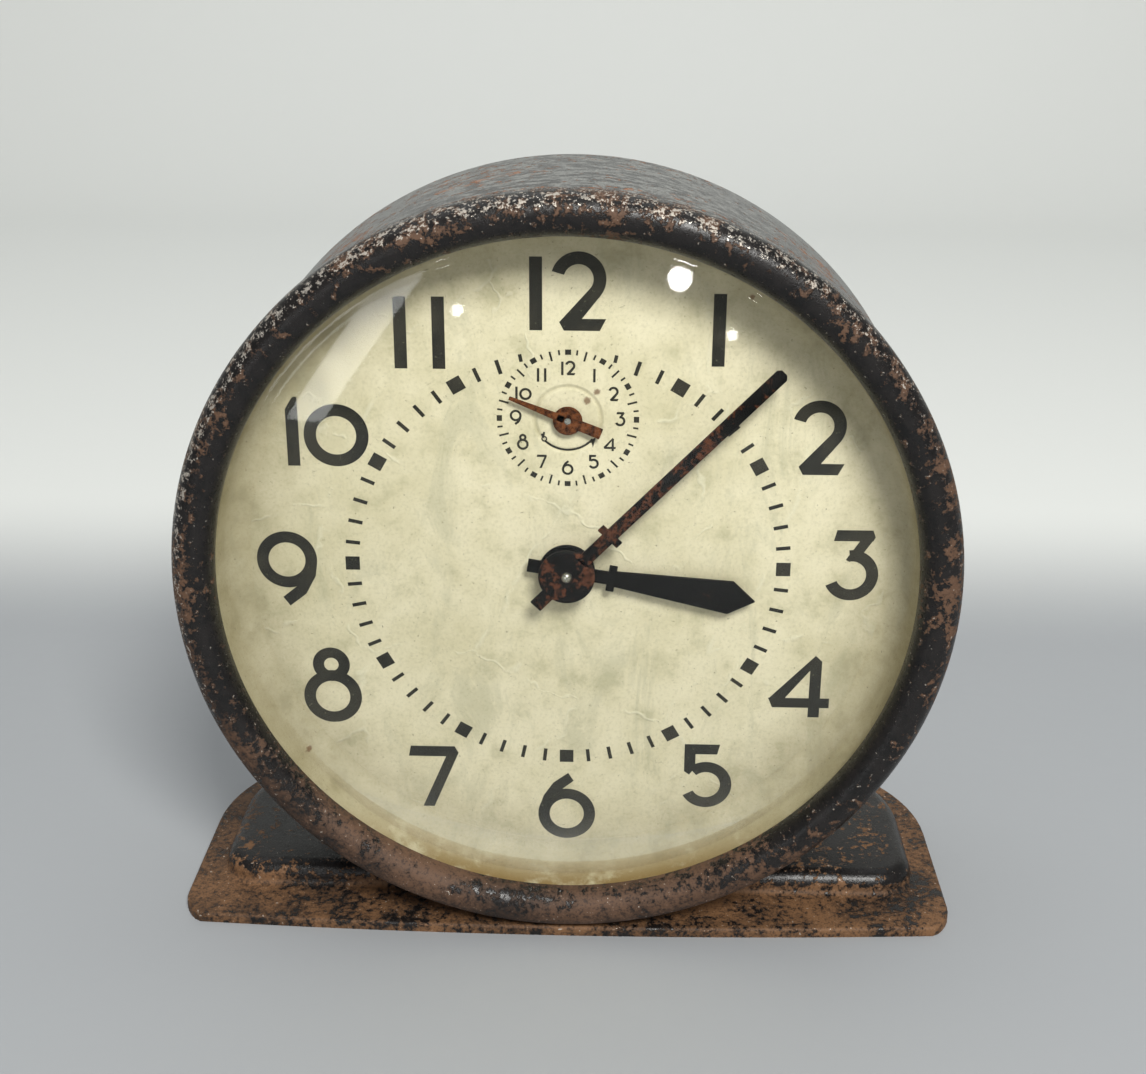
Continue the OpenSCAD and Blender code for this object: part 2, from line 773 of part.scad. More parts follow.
module escape_wheel() {
  color(brass) in_case() at(escape_at) {
    rotate([0, 0, lever_dir]) difference() {
      escape_teeth_disc(escape_teeth, escape_r, lever_z);
      for (i = [0:3]) rotate([0, 0, 45 + 90 * i]) translate([3.1, 0, 0])
        disc(1.1, lever_z - 1, lever_z + wheel_t + 1);
    }
    disc(1.4, lever_z - 0.6, lever_z + wheel_t + 0.5);
    rotate([0, 0, mesh_at(0, fourth_teeth, escape_leaves, escape_dir)])
      lantern(escape_leaves, fourth_mod, fourth_wheel_z, wheel_t);
    arbor(0.6);
  }
}

// Two upright pins that drop between the wheel's teeth in turn, on arms from the arbor. The wheel's
// centre lies at x = -distance.
module pallet_pins(distance, r, teeth, z) {
  pin_r = 0.25;
  reach = r + 0.08 + pin_r;
  spread = 1.75 * 360 / teeth;
  for (side = [-1, 1]) {
    pin = [-distance, 0] + polar(reach, side * spread);
    at(pin) disc(pin_r, z - 0.2, z + 2);
    bar([0, 0], pin, 0.9, z + 1.3, 0.7);
    at(pin) disc(0.6, z + 1.3, z + 2);
  }
}

// The forked end stops just short of the circle that the balance's impulse pin runs on
module pallet_lever() {
  fork_end = fork_c - impulse_r - impulse_pin_r - 0.25;
  color(steel) in_case() at(lever_at) rotate([0, 0, lever_dir]) {
    pallet_pins(lever_c, escape_r, escape_teeth, lever_z);
    difference() {
      union() {
        bar([0, 0], [fork_end - 2, 0], 1.2, lever_z + 1.3, 0.7);
        translate([fork_end - 2.4, -1.3, lever_z + 1.3]) cube([2.4, 2.6, 0.7]);
      }
      translate([fork_end - 1.4, -0.45, lever_z]) cube([3, 0.9, 3]);
    }
    disc(1.3, lever_z + 1.1, lever_z + 2.2);
    arbor(0.6);
  }
}

module balance_wheel() {
  rim = 1.3;
  roller_z = lever_z + 1;
  color(brass) in_case() at(balance_at) {
    tube(balance_r, balance_r - rim, balance_z, balance_z + 1.6);
    for (a = [0, 90]) rotate([0, 0, a + lever_dir])
      translate([-balance_r + rim / 2, -0.6, balance_z]) cube([2 * balance_r - rim, 1.2, 0.7]);
    disc(1.7, balance_z - 0.3, balance_z + 1.2);
    disc(2.3, roller_z + 1.4, roller_z + 1.9);
    rotate([0, 0, lever_dir + 180]) translate([impulse_r, 0, 0])
      disc(impulse_pin_r, roller_z, roller_z + 1.6);
    disc(staff_r, inside_front + 1.2, inside_back - 1.2);
    disc(0.35, inside_front + 0.4, inside_back - 0.4);
  }
}

module hairspring() {
  color(blued) in_case() at(balance_at) {
    coil(1.15, 5.4, 5, 0.12, hairspring_z, 0.8);
    tube(1.3, staff_r + fit, hairspring_z - 0.1, hairspring_z + 0.9);
  }
}

// Threaded cups that hold the balance staff's points
module balance_screws() {
  color(steel) in_case() at(balance_at) {
    difference() {
      disc(cup_r - 0.03, plate_front - 0.4, inside_front + 0.8);
      disc(0.35 + fit, inside_front + 0.3, inside_front + 2);
    }
    difference() {
      disc(cup_r - 0.03, inside_back - 0.8, back_face + 0.8);
      disc(0.35 + fit, inside_back - 2, inside_back - 0.3);
      translate([-2, -0.25, back_face + 0.3]) cube([4, 0.5, 1]);
    }
  }
}

// Turns on the back cup and reaches out through the back plate and cover as a thin tab
module regulator() {
  z = regulator_z;
  color(steel) in_case() at(balance_at) {
    tube(2.7, cup_r + fit, z + 0.4, z + 0.9);
    difference() {
      translate([-0.7, 2, z + 0.4]) cube([1.4, regulator_tip - 1.2, 0.5]);
      disc(cup_r + fit, z, z + 2);
    }
    translate([-0.5, regulator_tip - 0.5, z + 0.4]) cube([1, 1, cover_back + 1.6 - z - 0.4]);
    for (r = [5.05, 6.1]) translate([0, r, 0]) disc(0.15, hairspring_z + 0.2, z + 0.6);
  }
}

// ---- winding ----

module main_wheel(mod, click_at) {
  difference() {
    wheel(main_teeth, mod, main_z, main_t, 7.5, 6);
    disc(winding_r + fit, main_z - 1, main_z + main_t + 1);
  }
  at(click_at) disc(0.6, main_z + main_t / 2, ratchet_z + ratchet_t + 0.2);
}

module time_main_wheel() {
  color(brass) in_case() at(main_at) rotate([0, 0, main_dir + 180]) main_wheel(main_mod, click_spot);
}

module alarm_main_wheel() {
  color(brass) in_case() at(alarm_main_at) rotate([0, 0, alarm_escape_dir])
    main_wheel(alarm_main_mod, click_spot);
}

// A small hooked pawl that lies along the ratchet
module click() {
  at(click_spot) difference() {
    union() {
      disc(1.05, ratchet_z + 0.1, ratchet_z + 0.9);
      bar([0, 0], click_nose, 0.8, ratchet_z + 0.1, 0.8);
    }
    disc(0.6 + fit, ratchet_z - 1, ratchet_z + 2);
  }
}

module time_click() {
  color(steel) in_case() at(main_at) rotate([0, 0, main_dir + 180]) click();
}

module alarm_click() {
  color(steel) in_case() at(alarm_main_at) rotate([0, 0, alarm_escape_dir]) click();
}

// Runs in both plates and out through the back cover, where its key screws on
module winding_arbor() {
  disc(winding_r, plate_front, knob_z + 2);
  ratchet(ratchet_r, ratchet_z);
  disc(2.6, ratchet_z + ratchet_t, inside_back - 0.4);
}

module time_winding_arbor() {
  color(steel) in_case() at(main_at) winding_arbor();
}

module alarm_winding_arbor() {
  color(steel) in_case() at(alarm_main_at) winding_arbor();
}

module time_mainspring() {
  color(blued) in_case() at(main_at) coil(2.75, time_spring_r - 0.4, 7, 0.4, spring_z, spring_w);
}

module alarm_mainspring() {
  color(blued) in_case() at(alarm_main_at) coil(2.75, alarm_spring_r - 0.35, 5, 0.35, spring_z, spring_w);
}

// A threaded hub with two flat wings
module key(span) {
  hub_r = 2.9;
  wing_r = span / 4;
  difference() {
    union() {
      disc(hub_r, knob_z - 0.6, knob_z + 4);
      for (side = [-1, 1])
        translate([side * (span / 2 - wing_r), 0, knob_z + 6]) rotate([90, 0, 0])
          translate([0, 0, -0.7]) cylinder(r = wing_r, h = 1.4);
      translate([-span / 4, -0.7, knob_z + 3]) cube([span / 2, 1.4, 4]);
    }
    disc(winding_r + 0.02, knob_z - 2, knob_z + 2.02);
    for (side = [-1, 1])
      translate([side * (span / 2 - wing_r), 2, knob_z + 6]) rotate([90, 0, 0])
        cylinder(r = wing_r / 2.2, h = 4);
  }
}

module time_key() {
  color(brass) in_case() at(main_at) rotate([0, 0, 30]) key(time_key_w);
}

module alarm_key() {
  color(brass) in_case() at(alarm_main_at) rotate([0, 0, -20]) key(alarm_key_w);
}

// ---- alarm ----

module alarm_wheel() {
  hour_phase = mesh_at(0, minute_leaves, hour_teeth, motion_dir + 180);
  color(brass) in_case() at(alarm_at_xy) difference() {
    union() {
      rotate([0, 0, mesh_at(hour_phase, hour_teeth, hour_teeth, -90)])
        toothed(hour_teeth, hour_mod, 1.6, wheel_t);
      disc(2.6, 2, 3.4);
    }
    disc(alarm_arbor_r + fit, 0, 4);
    translate([0, -3, 3]) cube([3, 6, 1]);
  }
}

module alarm_arbor() {
  color(steel) in_case() at(alarm_at_xy) {
    disc(alarm_arbor_r, alarm_hand_z - 2.2, knob_z + 2);
    disc(0.45, -alarm_hand_z, 0);
    rotate([0, 0, 115]) translate([-2.4, -0.4, 3.5]) cube([4.8, 0.8, 0.8]);
  }
}

module alarm_hand() {
  color(rusty) in_case() at(alarm_at_xy) clock_turn(alarm_at) difference() {
    translate([0, 0, -alarm_hand_z + 0.05]) linear_extrude(0.35) {
      circle(2.1);
      polygon([
        [-0.6, 0], [-0.25, -alarm_len], [0.25, -alarm_len], [0.6, 0], [0.75, 0.5], [0.8, 5.1], [-0.8, 5.1],
        [-0.75, 0.5]
      ]);
    }
    disc(0.47, -3, 0);
  }
}

module alarm_set_knob() {
  color(brass) in_case() at(alarm_at_xy) difference() {
    union() {
      knurled(alarm_knob_r, 26, knob_z, knob_z + 2.8);
      disc(2.2, knob_z - 1, knob_z + 0.5);
    }
    disc(alarm_arbor_r + 0.02, knob_z - 2, knob_z + 2.02);
  }
}

// A leaf behind the alarm wheel, riveted to the front plate
module alarm_release_spring() {
  color(blued) in_case() {
    difference() {
      at(release_at) disc(2.2, plate_front - 0.4, plate_front);
      at(release_at) disc(0.5, plate_front - 1, plate_front + 1);
    }
    bar(release_at + [-0.8, -1.6], alarm_at_xy + [-3.4, 1], 1.6, plate_front - 0.4, 0.4);
  }
}

module alarm_escape_wheel() {
  color(brass) in_case() at(alarm_escape_at) {
    rotate([0, 0, hammer_dir]) escape_teeth_disc(alarm_escape_teeth, alarm_escape_r, lever_z + 0.8);
    disc(1.4, lever_z, lever_z + 2);
    rotate([0, 0, mesh_at(alarm_escape_dir, main_teeth, alarm_leaves, alarm_escape_dir)])
      lantern(alarm_leaves, alarm_main_mod, main_z, main_t);
    arbor(thin_arbor_r);
  }
}

// One arbor carries the pin pallets inside and the hammer arm behind the back plate
module hammer() {
  arm_z = back_face + 0.8;
  reach = hammer_head_at - hammer_at;
  color(steel) in_case() at(hammer_at) {
    rotate([0, 0, hammer_dir]) pallet_pins(hammer_c, alarm_escape_r, alarm_escape_teeth, lever_z + 0.8);
    disc(1.5, lever_z + 1.8, lever_z + 3.2);
    disc(hammer_arbor_r, plate_front, arm_z + 1.4);
    disc(1.8, arm_z, arm_z + 1.2);
    bar([0, 0], reach, 1.3, arm_z, 0.9);
    at(reach) disc(2, arm_z - 0.2, bell_top - 1.1);
  }
}

module bell() {
  bell_t = 0.8;
  color(steel) in_case() at(bell_at) difference() {
    disc(bell_r, back_face + 0.9, bell_top);
    disc(bell_r - bell_t, back_face, bell_top - bell_t);
    disc(screw_r + loose, back_face, bell_top + 1);
  }
}

// Holds the bell by its middle: a shouldered post from the plate, with a riveted head
module bell_post() {
  color(steel) in_case() at(bell_at) {
    disc(2, back_face, bell_top - 0.8);
    disc(screw_r - 0.02, inside_back, bell_top + 1);
    disc(1.9, bell_top, bell_top + 0.8);
  }
}

// Turns on a stud on the back plate, and its finger comes out through a slot in the cover
module alarm_stop_lever() {
  z = back_face + 0.3;
  color(steel) in_case() at(stop_at) {
    tube(2.4, 1.2 + fit, z, z + 1);
    difference() {
      translate([-0.9, -stop_len, z]) cube([1.8, stop_len, 1]);
      disc(1.2 + fit, z - 1, z + 2);
    }
    translate([-0.9, -stop_len - 0.6, z]) cube([1.8, 1.2, cover_back + 4 - z]);
  }
}

case_drum();
bezel();
crystal();
dial_ring();
dial_plate();
base_pan();
base_screws();
base_nuts();
back_cover();
back_cover_screws();
front_plate();
back_plate();
pillars();
standoffs();
centre_arbor();
centre_wheel();
cannon_pinion();
minute_hand();
hand_cap();
time_set_knob();
hour_wheel();
hour_hand();
minute_wheel();
third_wheel();
fourth_wheel();
escape_wheel();
pallet_lever();
balance_wheel();
hairspring();
balance_screws();
regulator();
time_main_wheel();
time_click();
time_winding_arbor();
time_mainspring();
time_key();
alarm_wheel();
alarm_arbor();
alarm_hand();
alarm_set_knob();
alarm_release_spring();
alarm_main_wheel();
alarm_click();
alarm_winding_arbor();
alarm_mainspring();
alarm_key();
alarm_escape_wheel();
hammer();
bell();
bell_post();
alarm_stop_lever();
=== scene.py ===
# %% [markdown]
# # A wind-up alarm clock
# The case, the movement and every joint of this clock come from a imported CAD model, and this
# lesson gives them their looks. We load that model as a frame, set up a camera and soft lights,
# write a small language for shader maths, mix the finishes, and then model the case, the dial and
# the hands with bmesh operators. Each new piece is built at its true size, in the place of the
# CAD solid that it stands for, and rides on that solid's body, so the clock still moves.

# %% Load the frame
import json
import math

import bmesh
import bpy
from mathutils import Matrix, Vector

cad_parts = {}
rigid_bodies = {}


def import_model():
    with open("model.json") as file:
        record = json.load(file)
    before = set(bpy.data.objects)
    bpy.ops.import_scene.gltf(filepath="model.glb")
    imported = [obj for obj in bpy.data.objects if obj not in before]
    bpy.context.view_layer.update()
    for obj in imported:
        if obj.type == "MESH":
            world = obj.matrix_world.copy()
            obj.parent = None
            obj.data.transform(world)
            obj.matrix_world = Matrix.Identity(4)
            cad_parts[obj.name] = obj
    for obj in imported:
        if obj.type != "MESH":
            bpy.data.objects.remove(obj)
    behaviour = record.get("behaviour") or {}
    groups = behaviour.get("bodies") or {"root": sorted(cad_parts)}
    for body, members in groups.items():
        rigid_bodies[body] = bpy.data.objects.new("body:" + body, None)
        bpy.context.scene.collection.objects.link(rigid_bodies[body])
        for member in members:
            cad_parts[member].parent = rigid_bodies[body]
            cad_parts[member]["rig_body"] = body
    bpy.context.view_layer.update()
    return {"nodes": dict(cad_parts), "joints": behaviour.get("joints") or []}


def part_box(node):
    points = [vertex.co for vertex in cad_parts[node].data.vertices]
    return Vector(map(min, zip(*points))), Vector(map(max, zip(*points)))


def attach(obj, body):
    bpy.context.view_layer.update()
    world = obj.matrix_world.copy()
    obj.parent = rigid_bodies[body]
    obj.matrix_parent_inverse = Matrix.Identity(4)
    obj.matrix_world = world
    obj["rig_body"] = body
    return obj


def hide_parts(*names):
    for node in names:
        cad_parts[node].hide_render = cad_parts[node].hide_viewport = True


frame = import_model()
scene = bpy.context.scene

# %% [markdown]
# ## Two drawing boards
# A dial is easiest to draw face on, in millimetres, with x to the right, y down and the depth into
# the clock as z. The base plate is easiest in plan, as seen from above. Each board is a matrix
# that carries what is drawn on it into the frame, so the numbers below read like a drawing's.
# The dial's centre comes from the joint that turns the hands, and its depth from the card's box.

# %% The dial board and the plan board
hand_joint = next(j for j in frame["joints"] if j["name"] == "minute_hand_turn")
axis_height = hand_joint["pos_m"][2]
dial_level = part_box("dial_plate")[0].y
MM = Matrix.Scale(0.001, 4)
DIAL = Matrix.Translation((0, dial_level, axis_height)) @ Matrix.Rotation(-math.pi / 2, 4, "X") @ MM
PLAN = Matrix.Translation((0, dial_level, 0)) @ MM
print("dial centre", round(axis_height * 1000, 1), "mm up, face at", round(dial_level * 1000, 1))

# %% [markdown]
# ## Camera
# The camera stands in front of the clock and looks down on it by about twenty degrees, from some
# 26 cm away, so the top of the drum shows and the bezel is a little wider at the top.

# %% Place the camera
camera_data = bpy.data.cameras.new("camera")
camera_data.sensor_width = 36
camera_data.lens = 50.9325
camera_data.clip_start = 0.01
camera = bpy.data.objects.new("camera", camera_data)
scene.collection.objects.link(camera)
scene.camera = camera
pan = Matrix.Rotation(math.radians(1.4988), 4, "Z")
tilt = Matrix.Rotation(math.radians(90 - 21.5616), 4, "X")
roll = Matrix.Rotation(math.radians(0.2868), 4, "Z")
camera.matrix_world = Matrix.Translation((0.006558, -0.235721, 0.149234)) @ pan @ tilt @ roll
print("camera looks along", [round(c, 2) for c in -camera.matrix_world.col[2].xyz])

# %% [markdown]
# ## Shader maths as Python
# A material is a graph of nodes, and wiring one by hand is slow to read. The class below wraps the
# output socket of a node. Python's own + - * / on it add Math nodes, in either order, and its one
# method `node` adds any other node: first its settings, then the values or links of its sockets.

# %% The wire class
class Wire:
    """What comes out of one material node."""

    def __init__(self, socket):
        self.socket = socket
        self.tree = socket.node.id_data

    def node(self, kind, settings=None, sockets=None, output=0):
        made = self.tree.nodes.new(kind)
        for name, value in (settings or {}).items():
            if name == "stops":
                set_stops(made.color_ramp, value)
            else:
                setattr(made, name, value)
        for name, value in (sockets or {}).items():
            if isinstance(value, Wire):
                self.tree.links.new(value.socket, made.inputs[name])
            else:
                made.inputs[name].default_value = value
        return Wire(made.outputs[output]) if made.outputs else None

    def maths(self, operation, first, second):
        return self.node("ShaderNodeMath", {"operation": operation}, {0: first, 1: second})

    def __add__(self, other):
        return self.maths("ADD", self, other)

    def __sub__(self, other):
        return self.maths("SUBTRACT", self, other)

    def __rsub__(self, other):
        return self.maths("SUBTRACT", other, self)

    def __mul__(self, other):
        return self.maths("MULTIPLY", self, other)

    def __truediv__(self, other):
        return self.maths("DIVIDE", self, other)

    __radd__ = __add__
    __rmul__ = __mul__


def set_stops(ramp, stops):
    """Gives a colour ramp its stops: (position, colour) pairs."""
    while len(ramp.elements) < len(stops):
        ramp.elements.new(1.0)
    for element, (position, colour) in zip(ramp.elements, stops):
        element.position = position
        element.color = colour


# %% [markdown]
# ## Paint box
# Colours are easiest to name as a screen shows them, from 0 to 255, while shaders work in linear
# light. `paint` does that change. The other helpers are the few tools that every finish here
# uses: clouds of noise, a soft threshold that turns noise into a patchy mask, and a colour mix.

# %% Small tools for finishes
def paint(red, green, blue):
    """A linear colour from screen values."""
    def linear(value):
        value = value / 255
        return value / 12.92 if value <= 0.04045 else ((value + 0.055) / 1.055) ** 2.4
    return (linear(red), linear(green), linear(blue), 1.0)


def clouds(place, size, detail=4.0, rough=0.55, warp=0.0):
    """Noise whose blobs are about size millimetres across, from 0 to 1."""
    sockets = {"Vector": place, "Scale": 1000 / size, "Detail": detail}
    sockets.update({"Roughness": rough, "Distortion": warp})
    return place.node("ShaderNodeTexNoise", None, sockets)


def patches(value, low, high):
    """0 below low, 1 above high and smooth in between."""
    settings = {"interpolation_type": "SMOOTHSTEP"}
    return value.node("ShaderNodeMapRange", settings, {"Value": value, "From Min": low, "From Max": high})


def tint(share, first, second):
    """A colour that goes from first to second as share goes from 0 to 1."""
    return share.node("ShaderNodeMix", {"data_type": "RGBA"}, {0: share, 6: first, 7: second}, output=2)


def shifted(place, x=0.0, y=0.0, z=0.0, stretch=(1, 1, 1)):
    """The same place moved by millimetres and then stretched, for a pattern of its own."""
    sockets = {"Location": (x / 1000, y / 1000, z / 1000), "Scale": stretch}
    return place.node("ShaderNodeMapping", None, {"Vector": place, **sockets})


def bumps(height, depth_mm, normal=None):
    """A Bump node: height from 0 to 1 stands for depth_mm."""
    sockets = {"Height": height, "Distance": depth_mm / 1000, "Strength": 1.0}
    if normal is not None:
        sockets["Normal"] = normal
    return height.node("ShaderNodeBump", None, sockets)


def new_finish(name):
    """A material with an empty node tree, and the wire of its Object coordinates."""
    material = bpy.data.materials.new(name)
    material.use_nodes = True
    material.node_tree.nodes.clear()
    place = Wire(material.node_tree.nodes.new("ShaderNodeTexCoord").outputs["Object"])
    return material, place


def surface(wire, sockets):
    """Joins a Principled shader to the material's output."""
    shader = wire.node("ShaderNodeBsdfPrincipled", None, sockets)
    wire.node("ShaderNodeOutputMaterial", None, {"Surface": shader})
    return shader


print("finishes read Object coordinates, which are the frame's own metres")

# %% [markdown]
# ## Worn black enamel
# The case is pressed steel under baked black enamel. Decades of handling have thinned it: what is
# left is glossy and black, the bare steel between has gone brown with fine rust, and the highest
# ridge is rubbed bright; the bright steel is made most at the top of the ridge, where it is also a
# painted highlight. The drum's top gets a pale grey film that is partly dust and partly painted
# sheen. We start with masks. Large clouds say where rust has won, fine clouds break its edge into
# specks, and each part shifts the balance. The gloss, the colour and the bump all follow the same
# masks, so that a patch of rust is brown, dull and rough at once.

# %% Masks that follow the clock's own shape
def towards(place, direction, low, high):
    """0 to 1 along a direction in the frame, between two distances in millimetres."""
    vector = Vector(direction).normalized() * 1000
    along = place.node("ShaderNodeVectorMath", {"operation": "DOT_PRODUCT"}, {0: place, 1: vector}, output=1)
    return patches(along, low, high)


def from_point(place, point, stretch):
    """Distance from a point, with each axis stretched: 1000 for millimetres, 0 to leave it out."""
    moved = place.node("ShaderNodeVectorMath", {"operation": "SUBTRACT"}, {0: place, 1: point})
    scaled = place.node("ShaderNodeVectorMath", {"operation": "MULTIPLY"}, {0: moved, 1: stretch})
    return place.node("ShaderNodeVectorMath", {"operation": "LENGTH"}, {0: scaled}, output=1)


def from_axis(place):
    """Distance from the dial's axis, in millimetres."""
    return from_point(place, (0, 0, axis_height), (1000, 0, 1000))


def facing_up(place):
    """1 where a surface faces the sky, and 0 from a slope of about fifty degrees."""
    normal = place.node("ShaderNodeNewGeometry", output=1)
    return patches(place.node("ShaderNodeSeparateXYZ", None, {0: normal}, output=2), 0.55, 0.98)


# %% Mix the worn enamel
def worn_enamel(name, rust_bias, rust_dark, rust_light, shape=None, wear_and_highlight_at=None, dust=0.0):
    material, place = new_finish(name)
    wide = clouds(place, 15, 3)
    middle = clouds(shifted(place, 31, 7, 12), 3.2, 7, 0.66, 0.5)
    fine = clouds(shifted(place, 5, 60, 3), 0.95, 6, 0.7)
    grit = clouds(shifted(place, 80, 2, 44), 0.35, 3, 0.6)
    balance = wide * 0.4 + middle * 0.65 + fine * 0.85 + (rust_bias - 0.95)
    if shape is not None:
        balance = balance + shape(place)
    rust = patches(balance, -0.025, 0.035)
    enamel_colour = tint(patches(middle, 0.40, 0.60), paint(21, 18, 17), paint(8, 7, 7))
    shade = wide * 0.35 + middle * 0.25 + fine * 0.25 + grit * 0.15
    rust_colour = tint(patches(shade, 0.41, 0.59), rust_dark, rust_light)
    rust_colour = tint(patches(fine * 0.5 + grit * 0.5, 0.50, 0.40) * 0.5, rust_colour, paint(26, 19, 16))
    colour = tint(rust, enamel_colour, rust_colour)
    chipped = fine * 0.6 + grit * 0.4
    # Bare steel shows in chips, and along the bezel's ridge, most at the top, where it is partly a painted
    # highlight.
    if wear_and_highlight_at is not None:
        chipped = chipped + wear_and_highlight_at(place) * 0.13
    bare = patches(chipped, 0.62, 0.64)
    colour = tint(bare * 0.85, colour, paint(188, 182, 172))
    rough = rust * 0.38 + 0.22 + grit * 0.14 - bare * 0.04
    # Upward faces are painted a paler grey, broken by dark flecks: partly settled dust, partly painted sheen
    # for the sky's reflection.
    if dust:
        flecks = patches(clouds(shifted(place, 9, 9, 9, stretch=(0.5, 1, 1)), 1.6, 6, 0.72), 0.46, 0.54)
        dust_and_sheen = facing_up(place) * patches(fine * 0.5 + grit * 0.5, 0.64, 0.46) * dust * (1 - flecks * 0.9)
        colour = tint(dust_and_sheen, colour, paint(132, 133, 129))
        rough = rough + dust_and_sheen * 0.12
    height = bumps(rust * 0.5 + fine * 0.7 + grit * 0.3, 0.1)
    shader = {"Base Color": colour, "Roughness": rough, "Normal": height}
    surface(place, {**shader, "Metallic": bare * 0.8, "IOR": 1.5, "Specular IOR Level": 0.34})
    return material


def bezel_wear(place):
    """Rust gathers low down and on the outer half of the bead, and spares the lower right."""
    outer = patches(from_axis(place), 51.5, 54.6) * 0.10
    low = towards(place, (-0.25, 0, -1), -45, -5) * 0.20
    kept = towards(place, (0.75, 0, -0.65), 2, 16) * towards(place, (-0.65, 0, -0.75), 55, 20) * 0.07
    return outer + low - kept - 0.12


def bezel_glints(place):
    """Bare steel along the ridge, most of all at the top: rubbed wear, and there partly a painted highlight.
    """
    ridge = patches(from_axis(place), 53.8, 54.8) * patches(from_axis(place), 56.8, 55.8)
    return ridge * (towards(place, (-0.45, 0, 1), 35, 90) * 0.62 + 0.1)


def drum_wear(place):
    """A band of rust follows the bezel's edge, stronger on the left."""
    edge = towards(place, (0, -1, 0), 15.5, 20.5)
    return edge * (towards(place, (-1, 0, 0), -25, 20) * 0.34 + 0.04)


def base_wear(place):
    """The low flange has rusted all over, and the raised middle keeps its enamel."""
    return towards(place, (0, 0, -1), -4.4, -2.2) * 0.19 + towards(place, (-1, 0, 0), 30, 62) * 0.05


bezel_finish = worn_enamel("bezel_enamel", 0.0, paint(36, 25, 18), paint(86, 63, 47),
                           bezel_wear, bezel_glints)
# The drum's top takes the pale film: partly dust, partly painted sheen.
drum_finish = worn_enamel("drum_enamel", -0.10, paint(80, 46, 24), paint(140, 88, 50), drum_wear, None, 0.8)
base_finish = worn_enamel("base_enamel", -0.12, paint(38, 25, 15), paint(110, 79, 52), base_wear)
back_finish = worn_enamel("back_enamel", -0.10, paint(60, 42, 30), paint(116, 86, 62))

# %% [markdown]
# ## Metals of the movement
# The wheels are brass and the arbors are steel. Brass that has sat in an old case is brown in the
# hollows and streaked by the last polish. Steel keeps its shine but spots with rust, and springs
# are blued by heat. One recipe makes all of them: a metal base colour, a stain that drifts over
# it, fine brushing from noise stretched along one axis, and a few spots.

# %% Mix the metals
def old_metal(name, bright, stain, spot, rough=0.32, spots=0.5, metallic=1.0):
    material, place = new_finish(name)
    drift = clouds(place, 6, 4)
    brushed = clouds(shifted(place, stretch=(1, 8, 8)), 1.2, 3)
    speck = clouds(shifted(place, 40, 3, 17), 0.8, 5, 0.65)
    stained = patches(drift * 0.7 + speck * 0.3, 0.42, 0.62)
    spotted = patches(speck, 1.14 - spots, 1.2 - spots)
    colour = tint(spotted, tint(stained * 0.8, bright, stain), spot)
    roughness = brushed * 0.2 + stained * 0.14 + spotted * 0.3 + (rough - 0.12)
    height = bumps(brushed * 0.4 + spotted, 0.03)
    shader = {"Base Color": colour, "Roughness": roughness, "Normal": height}
    surface(place, {**shader, "Metallic": (1 - spotted * 0.7) * metallic})
    return material


brass_finish = old_metal("old_brass", paint(196, 158, 92), paint(138, 104, 58), paint(82, 60, 38))
steel_finish = old_metal("old_steel", paint(176, 174, 170), paint(120, 114, 108), paint(84, 58, 42), 0.3)
blued_finish = old_metal("blued_steel", paint(58, 66, 104), paint(48, 42, 52), paint(80, 54, 40), 0.3)
bell_finish = old_metal("bell_metal", paint(188, 176, 150), paint(140, 122, 96), paint(88, 64, 46), 0.28)
cap_finish = old_metal("polished_cap", paint(208, 206, 200), paint(160, 156, 148),
                       paint(110, 96, 84), 0.2, 0.44)

# %% [markdown]
# ## Blackened and rusted hands
# The hands were punched from thin steel and blackened. The minute hand has red-brown rust along its
# arm and on its hub, the hour hand is nearly all black, and the small alarm hand has rusted all
# over. The black is a thin matt skin, so its shine is soft, and the rust stands slightly proud.

# %% Mix the finishes of the hands
def blackened(name, rust_share, light, dark):
    material, place = new_finish(name)
    middle = clouds(place, 3.2, 4, 0.6)
    fine = clouds(shifted(place, 11, 5, 23), 0.7, 5, 0.66)
    rust = patches(middle * 0.62 + fine * 0.38, 0.62 - rust_share, 0.68 - rust_share)
    black = tint(patches(fine, 0.5, 0.7), paint(8, 8, 9), paint(24, 21, 20))
    brown = tint(patches(fine, 0.36, 0.64), dark, light)
    rough = rust * 0.3 + fine * 0.2 + 0.4
    sockets = {"Base Color": tint(rust, black, brown), "Roughness": rough, "Specular IOR Level": 0.08}
    surface(place, {**sockets, "Normal": bumps(rust * 0.6 + fine, 0.04)})
    return material


hour_finish = blackened("black_hand", 0.0, paint(70, 50, 41), paint(36, 25, 21))
minute_finish = blackened("rusting_hand", 0.13, paint(92, 54, 38), paint(44, 25, 19))
alarm_finish = blackened("rusted_hand", 0.40, paint(112, 66, 40), paint(44, 24, 17))

# %% [markdown]
# ## The aged card
# The dial is printed card, once white. It has yellowed to cream with grey-green clouds, dust has
# settled as fine dark specks, and where the card has swollen there are light creases. A crease is
# a thin line where two cells of a Voronoi pattern meet, kept only in places by a cloud mask. The
# alarm dial has a ring pressed round its centre, drawn from the distance to that centre, and a
# few brown rust stains are drawn in the same way. Towards the rim the card is painted darker,
# least at the bottom: this is painted shade from the bezel, with a little darkening by age.

# %% Mix the card
stain_spots = [(2.7, -25.3, 0.75), (4.1, -26.6, 0.6), (-39.4, 30.2, 0.5), (25.2, -40.5, 0.5)]


